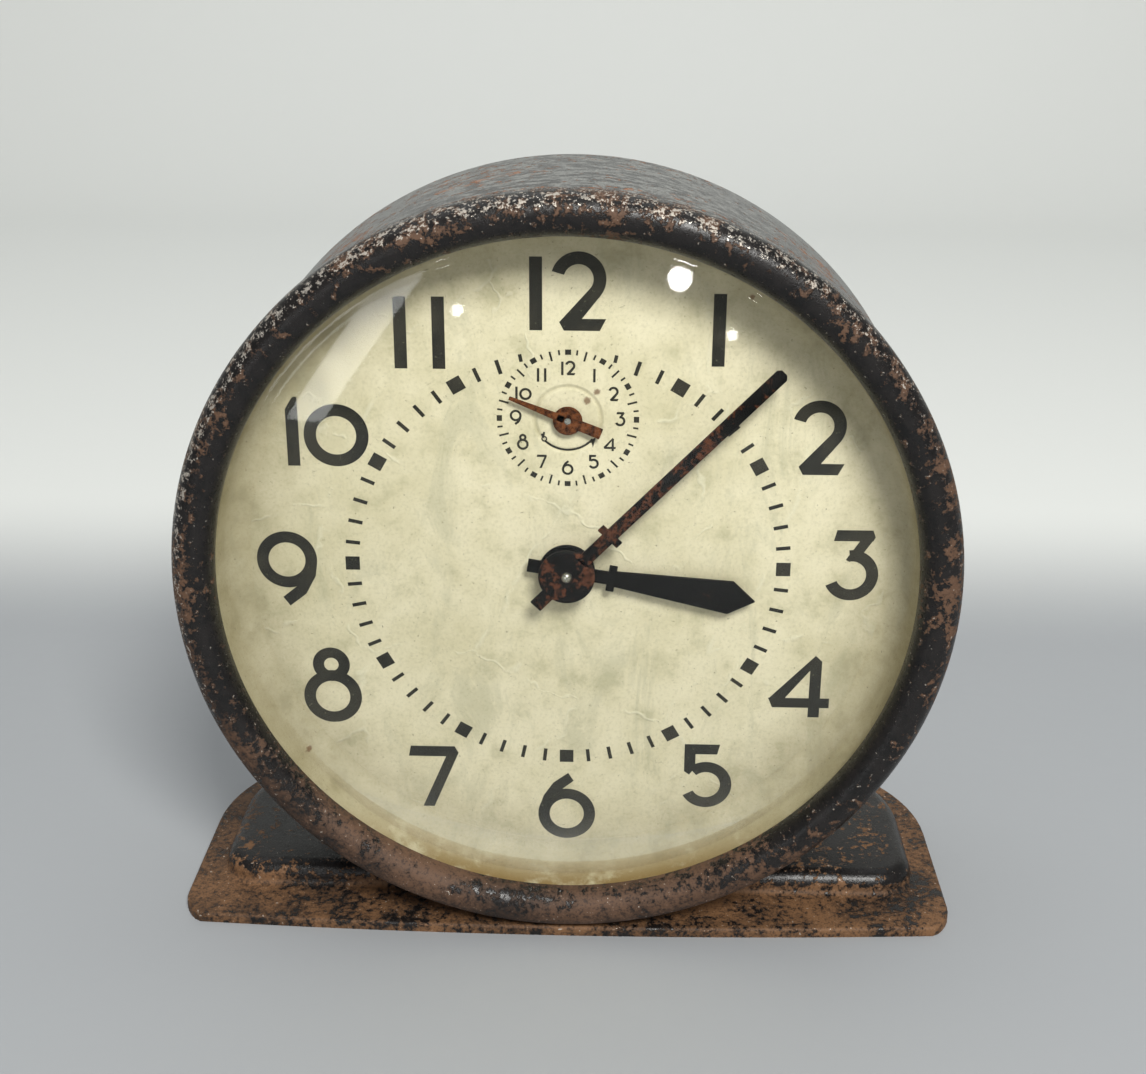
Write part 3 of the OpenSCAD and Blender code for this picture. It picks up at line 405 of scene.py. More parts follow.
def aged_card(name, light, dark, edge_shade, edge_stain=0.0, creases=1.0):
    material, place = new_finish(name)
    wide = clouds(place, 24, 4, 0.6)
    middle = clouds(shifted(place, 13, 0, 44), 5, 5, 0.6)
    fine = clouds(shifted(place, 3, 9, 21), 0.45, 3, 0.6)
    warp = clouds(shifted(place, 90, 0, 20), 9, 3)
    bent = place.node("ShaderNodeVectorMath", {"operation": "MULTIPLY_ADD"},
                      {0: (1, 1, 1), 1: warp * 0.012, 2: place})
    cells = place.node("ShaderNodeTexVoronoi", {"feature": "DISTANCE_TO_EDGE"},
                       {"Vector": bent, "Scale": 42.0}, output=0)
    crease = (1 - patches(cells, 0.0, 0.020)) * patches(middle, 0.47, 0.58) * creases
    clouded = patches(wide * 0.5 + middle * 0.4 + fine * 0.1, 0.36, 0.64)
    colour = tint(clouded, light, dark)
    colour = tint(patches(middle, 0.54, 0.72) * 0.45, colour, paint(176, 170, 142))
    streaks = clouds(shifted(place, 4, 0, 70, stretch=(1, 1, 0.35)), 9, 6, 0.7, 1.2)
    colour = tint(patches(streaks, 0.50, 0.68) * 0.4, colour, paint(170, 166, 142))
    colour = tint(patches(fine, 0.50, 0.68) * 0.16, colour, paint(150, 142, 116))
    colour = tint(crease * 0.5, colour, paint(226, 219, 199))
    rim = from_axis(place) + middle * 8 - 4
    # Painted shade: the card darkens towards the rim, less at the bottom, for the bezel's shadow and a
    # little age.
    shaded = patches(rim, 36, 54) * (1 - towards(place, (0, 0, -1), -30, -12) * 0.45)
    colour = tint(shaded * edge_shade, colour, paint(122, 110, 82))
    speck = patches(clouds(shifted(place, 7, 31, 2), 0.6, 4, 0.7), 0.65, 0.70)
    colour = tint(speck * 0.6, colour, paint(84, 74, 54))
    if edge_stain:
        low = place.node("ShaderNodeSeparateXYZ", None, {0: place}, output=2)
        stain = (1 - patches(low, axis_height - 0.050, axis_height - 0.036)) * patches(middle, 0.3, 0.5)
        stain = stain * patches(from_axis(place), 49.2, 51.4)
        colour = tint(stain * edge_stain, colour, paint(132, 104, 54))
    alarm_ring = from_point(place, (0, 0, axis_height + 0.0226), (1000, 0, 1000)) - 4.7
    pressed = patches(alarm_ring, -0.5, 0.0) * patches(alarm_ring, 0.5, 0.0)
    colour = tint(pressed * middle * 0.5, colour, paint(166, 152, 112))
    for x, y, size in stain_spots:
        spot = from_point(place, (x / 1000, 0, axis_height - y / 1000), (1000, 0, 1000)) + fine * 0.8 - 0.4
        colour = tint(patches(spot, size, size * 0.4) * 0.8, colour, paint(104, 66, 38))
    rough = 0.62 + fine * 0.2 - clouded * 0.06
    height = bumps(fine * 0.22 + middle * 0.6 + crease * 0.5 - pressed * 1.2, 0.12)
    surface(place, {"Base Color": colour, "Roughness": rough, "Normal": height})
    return material


# Both cards take the painted shade towards the rim.
card_finish = aged_card("aged_card", paint(226, 216, 192), paint(207, 197, 168), 0.62, 0.3)
ring_finish = aged_card("ring_card", paint(224, 214, 189), paint(205, 194, 164), 0.62, 0.95, 0.0)

# %% [markdown]
# ## Printing ink
# The numerals are printed in black ink that has greyed and lost small flakes, through which the
# card shows. The ink follows the card's fine grain, so the edge of a flake is ragged.

# %% Mix the ink
def printing_ink(name):
    material, place = new_finish(name)
    fine = clouds(shifted(place, 1, 8, 4), 0.5, 5, 0.7)
    drift = clouds(place, 7, 3)
    worn = patches(fine, 0.64, 0.7)
    ink = tint(patches(drift, 0.4, 0.62), paint(31, 30, 26), paint(48, 45, 38))
    colour = tint(worn * 0.7, ink, paint(150, 144, 120))
    surface(place, {"Base Color": colour, "Roughness": 0.55 + fine * 0.2,
                    "Specular IOR Level": 0.3, "Normal": bumps(fine, 0.02)})
    return material


ink_finish = printing_ink("printing_ink")

# %% [markdown]
# ## Glass
# The crystal is thin domed glass, close enough to the dial that it hardly bends the view. A
# Transparent shader lets the lamps reach the card, and a mirror-like shader takes over by the
# Fresnel rule, as real glass does at a glance. A little dust blurs the mirror here and there.

# %% Mix the glass
def thin_glass(name):
    material, place = new_finish(name)
    dust = patches(clouds(place, 3, 5, 0.7), 0.5, 0.8)
    fresnel = place.node("ShaderNodeFresnel", None, {"IOR": 1.48})
    clear = place.node("ShaderNodeBsdfTransparent", None, {"Color": (0.97, 0.98, 0.96, 1)})
    mirror = place.node("ShaderNodeBsdfPrincipled", None,
                        {"Base Color": (1, 1, 1, 1), "Metallic": 1.0, "Roughness": dust * 0.06 + 0.03})
    share = fresnel * 0.3 + dust * 0.003
    both = place.node("ShaderNodeMixShader", None, {0: share, 1: clear, 2: mirror})
    place.node("ShaderNodeOutputMaterial", None, {"Surface": both})
    return material


glass_finish = thin_glass("thin_glass")
print(len(bpy.data.materials), "finishes mixed")

# %% [markdown]
# ## A lathe and a finishing bench
# Most of the case is turned or spun work, so the first tool is a lathe. It takes the corners of a
# profile as (radius, depth, rounding), rounds them with a vertex bevel while the profile is still
# a wire, and spins the wire round the dial's axis. The bench then carries a finished bmesh into
# the frame, makes its faces point outwards, and hands the piece to its CAD body.

# %% The lathe
def wire_profile(bm, corners, closed=True, segments=5):
    """Edges through the corners, with each corner rounded by its own radius."""
    points = [bm.verts.new((radius, 0, depth)) for radius, depth, rounding in corners]
    ends = points[1:] + points[:1] if closed else points[1:]
    for here, there in zip(points, ends):
        bm.edges.new((here, there))
    for size in sorted({corner[2] for corner in corners if corner[2]}):
        chosen = [point for point, corner in zip(points, corners) if corner[2] == size]
        bmesh.ops.bevel(bm, geom=chosen, offset=size, offset_type="OFFSET", profile=0.5, material=-1,
                        segments=segments if size < 2 else 4 * segments, affect="VERTICES")
    bmesh.ops.remove_doubles(bm, verts=bm.verts, dist=0.002)


def spun(bm, steps=192):
    """Spins every edge of bm a full turn round the z axis."""
    bmesh.ops.spin(bm, geom=bm.verts[:] + bm.edges[:], cent=(0, 0, 0), axis=(0, 0, 1),
                   angle=math.tau, steps=steps, use_merge=True)
    bmesh.ops.remove_doubles(bm, verts=bm.verts, dist=0.002)
    return bm


def turned(corners, closed=True, steps=192, segments=5):
    bm = bmesh.new()
    wire_profile(bm, corners, closed, segments)
    return spun(bm, steps)


# %% The bench
def piece(bm, name, body, finish, stands_for=(), board=DIAL, sharp=32, outward=True):
    """Makes bm a finished object in the frame, riding on a CAD body."""
    if outward:
        bmesh.ops.recalc_face_normals(bm, faces=bm.faces)
    bm.transform(board)
    open_edges = sum(1 for edge in bm.edges if len(edge.link_faces) != 2)
    mesh = bpy.data.meshes.new(name)
    bm.to_mesh(mesh)
    bm.free()
    mesh.materials.append(finish)
    mesh.shade_smooth()
    mesh.set_sharp_from_angle(angle=math.radians(sharp))
    thing = bpy.data.objects.new(name, mesh)
    scene.collection.objects.link(thing)
    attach(thing, body)
    if stands_for:
        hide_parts(*stands_for)
    size = [round(1000 * c, 1) for c in thing.dimensions]
    print(f"{name}: {len(mesh.polygons)} faces, {size} mm, {open_edges} open edges")
    return thing


def repaint(node, finish):
    """A CAD node whose shape is right keeps it, and gets a better finish."""
    thing = frame["nodes"][node]
    thing.data.materials.clear()
    thing.data.materials.append(finish)


# %% [markdown]
# ## Bezel
# The bezel is a ring of sheet metal curled into a bead, 3 mm in radius, that holds the glass. Its
# profile has two corners rounded by the full 3 mm, which meet and make a half circle. Its foot is a
# straight skirt that slips into the drum. A ring this thin could be a torus, but then the edge
# that meets the glass and the drum would be wrong, and that edge is what shows.

# %% Turn the bezel
bezel_profile = [
    (50.1, -7.3, 0), (50.1, -11, 2.999), (56.1, -11, 2.999), (56.1, -5.9, 0.25), (54.55, -5.9, 0),
    (54.55, -1, 0.2), (53.85, -1, 0.2), (53.85, -6.6, 0), (55.4, -6.6, 0), (55.4, -10.3, 2.299),
    (50.8, -10.3, 2.299), (50.8, -7.3, 0),
]
bezel_shape = turned(bezel_profile, steps=256, segments=4)
piece(bezel_shape, "bezel_bead", "case", bezel_finish, ["bezel"])

# %% [markdown]
# ## Drum
# The drum is a short can with its back edge rolled inwards, which keeps the back cover in. Rolled
# steel never has a knife edge, so the outer corner gets a 1.1 mm rounding and the lip a soft end.

# %% Turn the drum
drum_profile = [
    (55.3, -5.85, 0.15), (55.3, 30, 1.1), (52.3, 30, 0.25), (52.3, 29.4, 0.2), (54.7, 29.4, 0.5),
    (54.7, -5.85, 0.15),
]
piece(turned(drum_profile), "drum_shell", "case", drum_finish, ["case_drum"])

# %% [markdown]
# ## Crystal
# The glass is a shallow slice of a ball, 1.2 mm thick, with a flat rim that sits under the bezel.
# A long arc is itself a spin: one vertex spun round the middle of the ball draws it. The outer
# arc and the inner arc are joined by the rim, and the whole profile is then spun into a dome.

# %% Turn the crystal
def arc_of_ball(bm, ball_radius, apex, reach, steps=48):
    """Edges of an arc from the dome's apex out to a radius of reach. Returns its last vertex."""
    start = bm.verts.new((0, 0, apex))
    angle = math.asin(reach / ball_radius)
    made = bmesh.ops.spin(bm, geom=[start], cent=(0, 0, apex + ball_radius), axis=(0, -1, 0),
                          angle=angle, steps=steps)
    return next(item for item in made["geom_last"] if isinstance(item, bmesh.types.BMVert))


glass_ball = (50.1 ** 2 + 5.5 ** 2) / 11
crystal_shape = bmesh.new()
outer_end = arc_of_ball(crystal_shape, glass_ball, -12.8, 50.1)
inner_end = arc_of_ball(crystal_shape, glass_ball - 1.2, -11.6, 49.0)
rim = [crystal_shape.verts.new((53.5, 0, depth)) for depth in (-7.3, -6.3)]
for here, there in ((outer_end, rim[0]), (rim[0], rim[1]), (rim[1], inner_end)):
    crystal_shape.edges.new((here, there))
piece(spun(crystal_shape, 192), "crystal_dome", "case", glass_finish, ["crystal"])

# %% [markdown]
# ## Dial ring
# Between the glass and the card sits a sloping ring of card, which keeps them apart and frames the
# dial. It catches more light than the dial on its lower side and falls into shade at the top.

# %% Turn the dial ring
ring_profile = [
    (46.6, 0, 0), (46.6, -0.05, 0), (49.3, -0.1, 2.6), (51.3, -6.3, 0.4), (52.5, -6.3, 0.15),
    (52.5, -5.8, 0.1),
    (51.7, -5.8, 0.1), (50.2, 0, 0),
]
piece(turned(ring_profile), "sloping_ring", "case", ring_finish, ["dial_ring"])
repaint("dial_plate", card_finish)

# %% [markdown]
# ## Strokes of ink
# Each numeral is printed ink with a real, tiny thickness, so it never flickers against the card.
# A straight stroke is one face pushed back to a solid. A curved stroke is a small upright
# rectangle spun part of a turn, or a whole turn for a ring. Numbers in these drawings are
# millimetres from the foot of the digit, with y down, as on the dial board.

# %% Tools for flat strokes
def plate_of(bm, outline, top, bottom):
    """A flat plate with this outline, from depth top to depth bottom."""
    face = bm.faces.new([bm.verts.new((x, y, top)) for x, y in outline])
    made = bmesh.ops.extrude_face_region(bm, geom=[face])
    moved = [item for item in made["geom"] if isinstance(item, bmesh.types.BMVert)]
    bmesh.ops.translate(bm, verts=moved, vec=(0, 0, bottom - top))


def band_of(bm, centre, outer, inner, start, end, top, bottom):
    """A flat curved band between two radii, from start to end degrees, growing clockwise."""
    x, y = centre
    section = [(outer, top), (outer, bottom), (inner, bottom), (inner, top)]
    corners = [bm.verts.new((x + radius, y, depth)) for radius, depth in section]
    face = bm.faces.new(corners)
    edges = face.edges[:]
    turn = Matrix.Rotation(math.radians(start), 3, "Z")
    bmesh.ops.rotate(bm, verts=corners, cent=(x, y, 0), matrix=turn)
    sweep = math.radians(end - start)
    steps = max(6, round(abs(end - start) / (4 if outer > 1.5 else 9)))
    if abs(end - start) >= 360:
        bmesh.ops.delete(bm, geom=[face], context="FACES_ONLY")
        bmesh.ops.spin(bm, geom=corners + edges, cent=(x, y, 0), axis=(0, 0, 1), angle=sweep,
                       steps=steps, use_merge=True)
    else:
        bmesh.ops.spin(bm, geom=corners + edges + [face], cent=(x, y, 0), axis=(0, 0, 1),
                       angle=sweep, steps=steps)


# %% [markdown]
# ## The digits
# The numerals are plain geometric ones: rings, arcs and straight bars with one stroke width.
# A digit is a list of strokes on its own foot line, so the same drawing serves both dials, large
# for the hours and at a fifth of the size for the alarm.

# %% Draw the digits
DIGITS = {
    "0": [("band", (0, -4.65), 4.65, 2.88, 0, 360)],
    "1": [("plate", [(-0.89, -10.3), (0.89, -10.3), (0.89, 0), (-0.89, 0)])],
    "2": [
        ("band", (0, -7.25), 3.82, 2.06, -164, 41),
        ("plate", [(2.9, -4.77), (0.5, -1.68), (3.85, -1.68), (3, 0), (-2, 0), (-2.65, -1.2), (1.55, -5.9)]),
    ],
    "3": [
        ("band", (0, -3.98), 3.98, 2.22, -97, 155),
        ("plate", [(-2.4, -11.05), (2.8, -11.05), (3.2, -10), (2.9, -9.35), (-2.8, -9.35)]),
        ("plate", [(3.2, -10), (1.6, -7.5), (-0.3, -6.1), (-0.9, -6.4), (1, -9.4)]),
    ],
    "4": [
        ("plate", [(-6.95, -3), (-0.15, -10.3), (0.85, -9.35), (-0.85, -7.85), (-4.5, -3.1)]),
        ("plate", [(-6.95, -3.2), (2.25, -3.2), (2.25, -1.6), (-6.3, -1.6)]),
        ("plate", [(-0.85, -9.4), (0.85, -9.4), (0.85, 0), (-0.85, 0)]),
    ],
    "5": [
        ("plate", [(-3.4, -11), (2, -11), (1.6, -9.3), (-3.4, -9.3)]),
        ("plate", [(-3.4, -10), (-1.7, -10), (-1.7, -7), (-2.6, -5.7), (-3.4, -6.3)]),
        ("band", (0, -3.98), 3.98, 2.22, -132, 151),
    ],
    "6": [
        ("band", (0, -4.43), 4.43, 2.66, 0, 360),
        ("plate", [(0.2, -11.65), (1.05, -10.3), (-0.95, -8.6), (-2.5, -6.5), (-4.25, -5.5), (-3.6, -7.6),
                   (-2.1, -9.9)]),
    ],
    "7": [("plate", [(-3.5, -10.6), (3.25, -10.6), (3.85, -9.5), (-0.1, 0), (-1.85, 0), (1.9, -8.85),
                     (-3.85, -8.85)])],
    "8": [("band", (0, -4.4), 4.4, 2.62, 0, 360), ("band", (0, -9.78), 2.8, 1.1, 0, 360)],
    "9": [
        ("band", (0, -7.4), 4.45, 2.72, 0, 360),
        ("plate", [(4.42, -6.8), (4.1, -4.8), (2.6, -2), (0.1, 0), (-0.9, -1.4), (1.3, -3.2), (2.4, -5)]),
    ],
}


def print_digit(bm, digit, x, y, size=1.0):
    """Prints one digit with the middle of its foot at x, y."""
    for number, (kind, *numbers) in enumerate(DIGITS[digit]):
        top = -0.03 - 0.004 * number
        if kind == "plate":
            outline = [(x + size * px, y + size * py) for px, py in numbers[0]]
            plate_of(bm, outline, top, 0.03)
        else:
            (px, py), outer, inner, start, end = numbers
            band_of(bm, (x + size * px, y + size * py), size * outer, size * inner, start, end, top, 0.03)


# %% [markdown]
# ## Hour numerals
# The numerals stand upright round the dial. Their feet don't follow one exact circle, because a
# designer places each by eye, so every numeral has its own place.

# %% Print the hour numerals
hour_places = [
    ("1", -4.5, -35.4), ("2", 1.4, -35.4), ("1", 20.93, -30.5), ("2", 35.6, -14.7), ("3", 41.5, 4.75),
    ("4", 37.35, 24.2), ("5", 21.5, 40.2), ("6", 0.05, 46.25), ("7", -20.5, 40.9), ("8", -35.6, 26.4),
    ("9", -41.3, 7), ("1", -39.35, -15.05), ("0", -33.1, -15.05), ("1", -23.45, -29.7), ("1", -18.1, -29.7),
]
hour_ink = bmesh.new()
for digit, x, y in hour_places:
    print_digit(hour_ink, digit, x, y)
piece(hour_ink, "hour_numerals", "case", ink_finish)

# %% [markdown]
# ## Minute track
# A square marks each hour and a bar each minute, all centred on one circle. At the top the alarm
# dial takes the room: three minutes are left out, and the two beside them are cut short.

# %% Print the minute track
def mark(bm, centre, radius, angle, long, wide):
    """A small bar across the circle, at an angle clockwise from 12."""
    turn = Matrix.Rotation(math.radians(angle), 2)
    half = [(-wide / 2, -long / 2), (wide / 2, -long / 2), (wide / 2, long / 2), (-wide / 2, long / 2)]
    outline = [turn @ Vector((px, py - radius)) for px, py in half]
    plate_of(bm, [(centre[0] + p.x, centre[1] + p.y) for p in outline], -0.03, 0.03)


track = bmesh.new()
for minute in range(2, 59):
    angle = 6 * minute
    if minute % 5 == 0:
        mark(track, (0, 0), 31.6, angle, 2.1, 2.1)
    elif minute in (2, 58):
        mark(track, (0, 0), 32.1, angle, 1.1, 0.5)
    else:
        mark(track, (0, 0), 31.6, angle, 2.1, 0.55)
plate_of(track, [(-22.8, 45.9), (-22.5, 45.9), (-22.9, 47.9), (-23.2, 47.9)], -0.03, 0.03)
piece(track, "minute_track", "case", ink_finish)

# %% [markdown]
# ## Alarm dial
# The small dial sets the hour of the alarm. It has a square at each hour, a longer bar at each
# half and short bars at the quarters, the same numerals at a fifth of the size, and a curved
# arrow that says which way to turn the knob.

# %% Print the alarm dial
alarm_centre = (0, -22.6)
alarm_ink = bmesh.new()
for quarter in range(48):
    angle = 7.5 * quarter
    if quarter % 4 == 0:
        mark(alarm_ink, alarm_centre, 9.72, angle, 0.75, 0.85)
    elif quarter % 4 == 2:
        mark(alarm_ink, alarm_centre, 9.4, angle, 1.4, 0.28)
    else:
        mark(alarm_ink, alarm_centre, 9.72, angle, 0.75, 0.26)
for hour in range(1, 13):
    angle = math.radians(30 * hour)
    x = 7.4 * math.sin(angle)
    y = alarm_centre[1] - 7.4 * math.cos(angle) + 1
    text = str(hour)
    shifts = {"10": (-0.85, 0.42), "11": (-0.5, 0.5), "12": (-0.8, 0.3)}.get(text, (0,))
    for digit, shift in zip(text, shifts):
        print_digit(alarm_ink, digit, x + shift, y, 0.19)

# %% Print the arrow
band_of(alarm_ink, alarm_centre, 4.75, 4.45, 40, 134, -0.03, 0.03)
tip = Vector((4.0, -19.9))
along = Vector((0.6, -0.8))
across = Vector((0.8, 0.6))
head = [tip, tip - along * 1.5 + across * 0.6, tip - along * 1.0, tip - along * 1.5 - across * 0.6]
plate_of(alarm_ink, [tuple(p) for p in head], -0.034, 0.03)
band_of(alarm_ink, (-3.35, -19.6), 0.42, 0.24, 0, 360, -0.036, 0.03)
for lean in (0.55, -0.2):
    end = Vector((-3.9, -20.2)) + Vector((0.45, -0.35)) * (1 - lean)
    start_mark = Vector((-3.5, -19.75))
    side = (end - start_mark).orthogonal().normalized() * 0.14
    feather = [start_mark + side, end + side, end - side, start_mark - side]
    plate_of(alarm_ink, [tuple(p) for p in feather], -0.038 + 0.003 * lean, 0.03)
piece(alarm_ink, "alarm_numerals", "case", ink_finish)

# %% [markdown]
# ## Hands
# A hand is a punched outline: a hub disc, an arm, a short crossbar near the hub and a tail behind
# it. Each part of the outline is a thin plate, and its upper edges are bevelled by a tenth of a
# millimetre so that they catch the light. The plates overlap inside the metal, where it can't
# be seen. The hands are drawn pointing at 12 and then turned to the time.

# %% Tools for the hands
def softened(bm, size, segments=2, angle=40):
    """Bevels every edge that is sharper than angle."""
    bm.normal_update()
    sharp = [e for e in bm.edges if len(e.link_faces) == 2 and e.calc_face_angle() > math.radians(angle)]
    bmesh.ops.bevel(bm, geom=sharp, offset=size, offset_type="OFFSET", segments=segments, profile=0.5,
                    affect="EDGES", material=-1, clamp_overlap=True)


def clockwise(bm, degrees, centre=(0, 0)):
    """Turns bm clockwise from 12, as the front shows it."""
    turn = Matrix.Rotation(math.radians(degrees), 3, "Z")
    bmesh.ops.rotate(bm, verts=bm.verts, cent=(*centre, 0), matrix=turn)


def merged(target, other):
    """Adds another bmesh's shape to target."""
    mesh = bpy.data.meshes.new("passing")
    other.to_mesh(mesh)
    other.free()
    target.from_mesh(mesh)
    bpy.data.meshes.remove(mesh)


hand_bevel = 0.09


def hand(plates, hub_profile, top, thick, degrees, centre=(0, 0)):
    shape = bmesh.new()
    for number, outline in enumerate(plates):
        part = bmesh.new()
        plate_of(part, outline, top + 0.01 * number, top + thick)
        bmesh.ops.recalc_face_normals(part, faces=part.faces)
        softened(part, hand_bevel)
        merged(shape, part)
    hub = turned(hub_profile, steps=64, segments=3)
    bmesh.ops.recalc_face_normals(hub, faces=hub.faces)
    merged(shape, hub)
    if centre != (0, 0):
        bmesh.ops.translate(shape, verts=shape.verts, vec=(*centre, 0))
    clockwise(shape, degrees, centre)
    return shape


# %% Cut the minute hand
minute_plates = [
    [(-0.97, -3), (-0.97, -42.4), (-0.5, -42.9), (0.5, -42.9), (0.97, -42.4), (0.97, -3)],
    [(-1.9, -8.35), (-1.9, -9.5), (1.9, -9.5), (1.9, -8.35)],
    [(1, 3), (1, 6.5), (-1, 6.5), (-1, 3)],
]
minute_hub = [(0.5, -4.4, 0.05), (3.7, -4.4, 0.1), (4.1, -4.25, 0.1), (4.1, -3.9, 0.08), (0.5, -3.9, 0)]
minute_shape = hand(minute_plates, minute_hub, -4.4, 0.5, 44.05)
piece(minute_shape, "minute_pointer", "centre", minute_finish, ["minute_hand"], sharp=40)

# %% Cut the hour hand
hour_plates = [
    [(-1.2, -7), (-2.6, -24.2), (0, -27.9), (2.6, -24.2), (1.2, -7)],
    [(-1, -3), (-1, -7.5), (1, -7.5), (1, -3)],
    [(-2, -6), (-2, -7.2), (2, -7.2), (2, -6)],
    [(1, 3), (1, 5.8), (-1, 5.8), (-1, 3)],
]
hour_hub = [(2.6, -2.2, 0.05), (4.1, -2.2, 0.1), (4.1, -1.7, 0.08), (2.6, -1.7, 0)]
hour_shape = hand(hour_plates, hour_hub, -2.2, 0.5, 99)
piece(hour_shape, "hour_pointer", "hour", hour_finish, ["hour_hand"], sharp=40)

# %% Cut the alarm hand
alarm_plates = [
    [(-0.58, -0.5), (-0.25, -8.9), (0.25, -8.9), (0.58, -0.5)],
    [(0.75, 0.5), (0.8, 5.1), (-0.8, 5.1), (-0.75, 0.5)],
]
alarm_hub = [(0.47, -1.25, 0.05), (1.7, -1.25, 0.1), (2.1, -1.1, 0.06), (2.1, -0.9, 0.05), (0.47, -0.9, 0)]
alarm_shape = hand(alarm_plates, alarm_hub, -1.25, 0.35, 291.7, alarm_centre)
piece(alarm_shape, "alarm_pointer", "alarm_setting", alarm_finish, ["alarm_hand"], sharp=40)

# %% [markdown]
# ## Base plate
# The base is one pressing: a turned-down rim, a flat flange, and a raised middle with a hollow
# that the drum lies in. It is drawn in plan as two outlines. Each starts as a rectangle whose
# corners get a vertex bevel, and insets with a little rise make the rim and the rounded steps of
# the press tool. The two are bridged, every point that would reach into the drum is pressed down
# to its round, and solidify gives the sheet its thickness.

# %% Draw an outline in plan
def plan_outline(bm, half, front, back, front_round, back_round, height):
    """One face: a rectangle with rounded corners, its front edge cut into short pieces."""
    corners = [(-half, front), (half, front), (half, back), (-half, back)]
    points = [bm.verts.new((x, y, height)) for x, y in corners]
    face = bm.faces.new(points)
    for chosen, size, segments in ((points[:2], front_round, 10), (points[2:], back_round, 18)):
        bmesh.ops.bevel(bm, geom=chosen, offset=size, offset_type="OFFSET", segments=segments,
                        profile=0.5, affect="VERTICES", material=-1)
    straight = [e for e in bm.edges if e.calc_length() > 10]
    bmesh.ops.subdivide_edges(bm, edges=straight, cuts=24)
    return max(bm.faces, key=lambda f: f.calc_area())


def press_up(bm, face, steps):
    """Insets a face again and again: each step is how far in it goes and how far it rises."""
    for inward, rise in steps:
        bmesh.ops.inset_individual(bm, faces=[face], thickness=inward, depth=rise, use_even_offset=True)
    return face


def quarter(radius, hollow=False, cuts=5):
    """The steps of a quarter round: a shoulder, or a hollow foot."""
    turns = [math.pi / 2 * step / cuts for step in range(cuts + 1)]
    level = [(radius * (1 - math.cos(a)), radius * math.sin(a)) for a in turns]
    if hollow:
        level = [(rise, inward) for inward, rise in level]
    return [(b[0] - a[0], b[1] - a[1]) for a, b in zip(level, level[1:])]


# %% Press the flange and its turned-down rim
half_width, front_edge, back_edge = 60.2, -9.5, 45.0
flange_top, plateau_top, steel = 1.55, 5.0, 0.8
flange = bmesh.new()
flange_face = plan_outline(flange, half_width, front_edge, back_edge, 8, 25, 0)
bow_radius = (half_width - 8) ** 2 / 3
for point in flange.verts:
    point.co.y = max(point.co.y, front_edge + point.co.x ** 2 / (2 * bow_radius))
press_up(flange, flange_face, [(0.0005, flange_top - 0.6)] + quarter(0.6))
bmesh.ops.delete(flange, geom=[flange_face], context="FACES_ONLY")
print("flange:", len(flange.verts), "points")

# %% Press the raised middle
raised = bmesh.new()
foot, shoulder = 1.0, plateau_top - flange_top - 1.0
raised_face = plan_outline(raised, 56.6, -0.1, 41.4, 7.6, 21.4, flange_top)
press_up(raised, raised_face, quarter(foot, hollow=True) + quarter(shoulder, cuts=7))
print("raised middle:", len(raised.verts), "points")

# %% Bridge the two and press the hollow for the drum
merged(flange, raised)
loops = [e for e in flange.edges if len(e.link_faces) == 1 and e.verts[0].co.z > flange_top - 0.01]
bmesh.ops.bridge_loops(flange, edges=loops)
for step in range(-19, 20):
    everything = flange.verts[:] + flange.edges[:] + flange.faces[:]
    bmesh.ops.bisect_plane(flange, geom=everything, plane_co=(step, 0, 0), plane_no=(1, 0, 0), dist=1e-4)
saddle = 55.36
for point in flange.verts:
    lowest = axis_height * 1000 - math.sqrt(max(saddle ** 2 - point.co.x ** 2, 0))
    if point.co.z > lowest:
        point.co.z = lowest
bmesh.ops.recalc_face_normals(flange, faces=flange.faces)
if max(flange.faces, key=lambda f: f.calc_center_median().z).normal.z < 0:
    bmesh.ops.reverse_faces(flange, faces=flange.faces)
bmesh.ops.solidify(flange, geom=flange.faces[:], thickness=steel)
piece(flange, "base_plate", "case", base_finish, ["base_pan"], board=PLAN, outward=False)

# %% [markdown]
# ## Finer copies
# The CAD solids of the screws, the levers, the bell and the back cover have the right shape, but
# their edges are knife sharp, which stamped and turned metal never is. So each gets a finer copy:
# the loose triangles are merged, flat areas are dissolved into single faces, and every sharp edge
# is bevelled. The copy stands for the CAD node, and can't grow beyond it.

# %% Bevel the back cover, screws, levers and bell
def finer(node, name, finish, size, flat=0.6):
    bm = bmesh.new()
    bm.from_mesh(frame["nodes"][node].data)
    bmesh.ops.remove_doubles(bm, verts=bm.verts, dist=2e-6)
    bmesh.ops.dissolve_limit(bm, angle_limit=math.radians(flat), verts=bm.verts[:], edges=bm.edges[:])
    softened(bm, size / 1000, 3, 30)
    body = frame["nodes"][node]["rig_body"]
    return piece(bm, name, body, finish, [node], Matrix.Identity(4), sharp=36, outward=False)


finer("back_cover", "cover_disc", back_finish, 0.12)
finer("back_cover_screws", "cover_screws", steel_finish, 0.1)
finer("base_screws", "underside_screws", steel_finish, 0.1)
finer("alarm_stop_lever", "stop_lever", steel_finish, 0.15)
finer("regulator", "speed_lever", steel_finish, 0.1)
finer("bell", "bell_dome", bell_finish, 0.1)

# %% [markdown]
# ## Knobs and keys
# The two knobs are knurled brass. A knurled rim is a star-shaped outline pushed up into a
# cylinder, and rounding its corners at both ends gives fingers something soft to turn. A turned
# dish closes its face. Each winding key is two flat rings, its wings, on a turned hub with a web.

# %% Turn and knurl the knobs
notch, rim_round, face_drop = 0.35, 0.35, 0.45


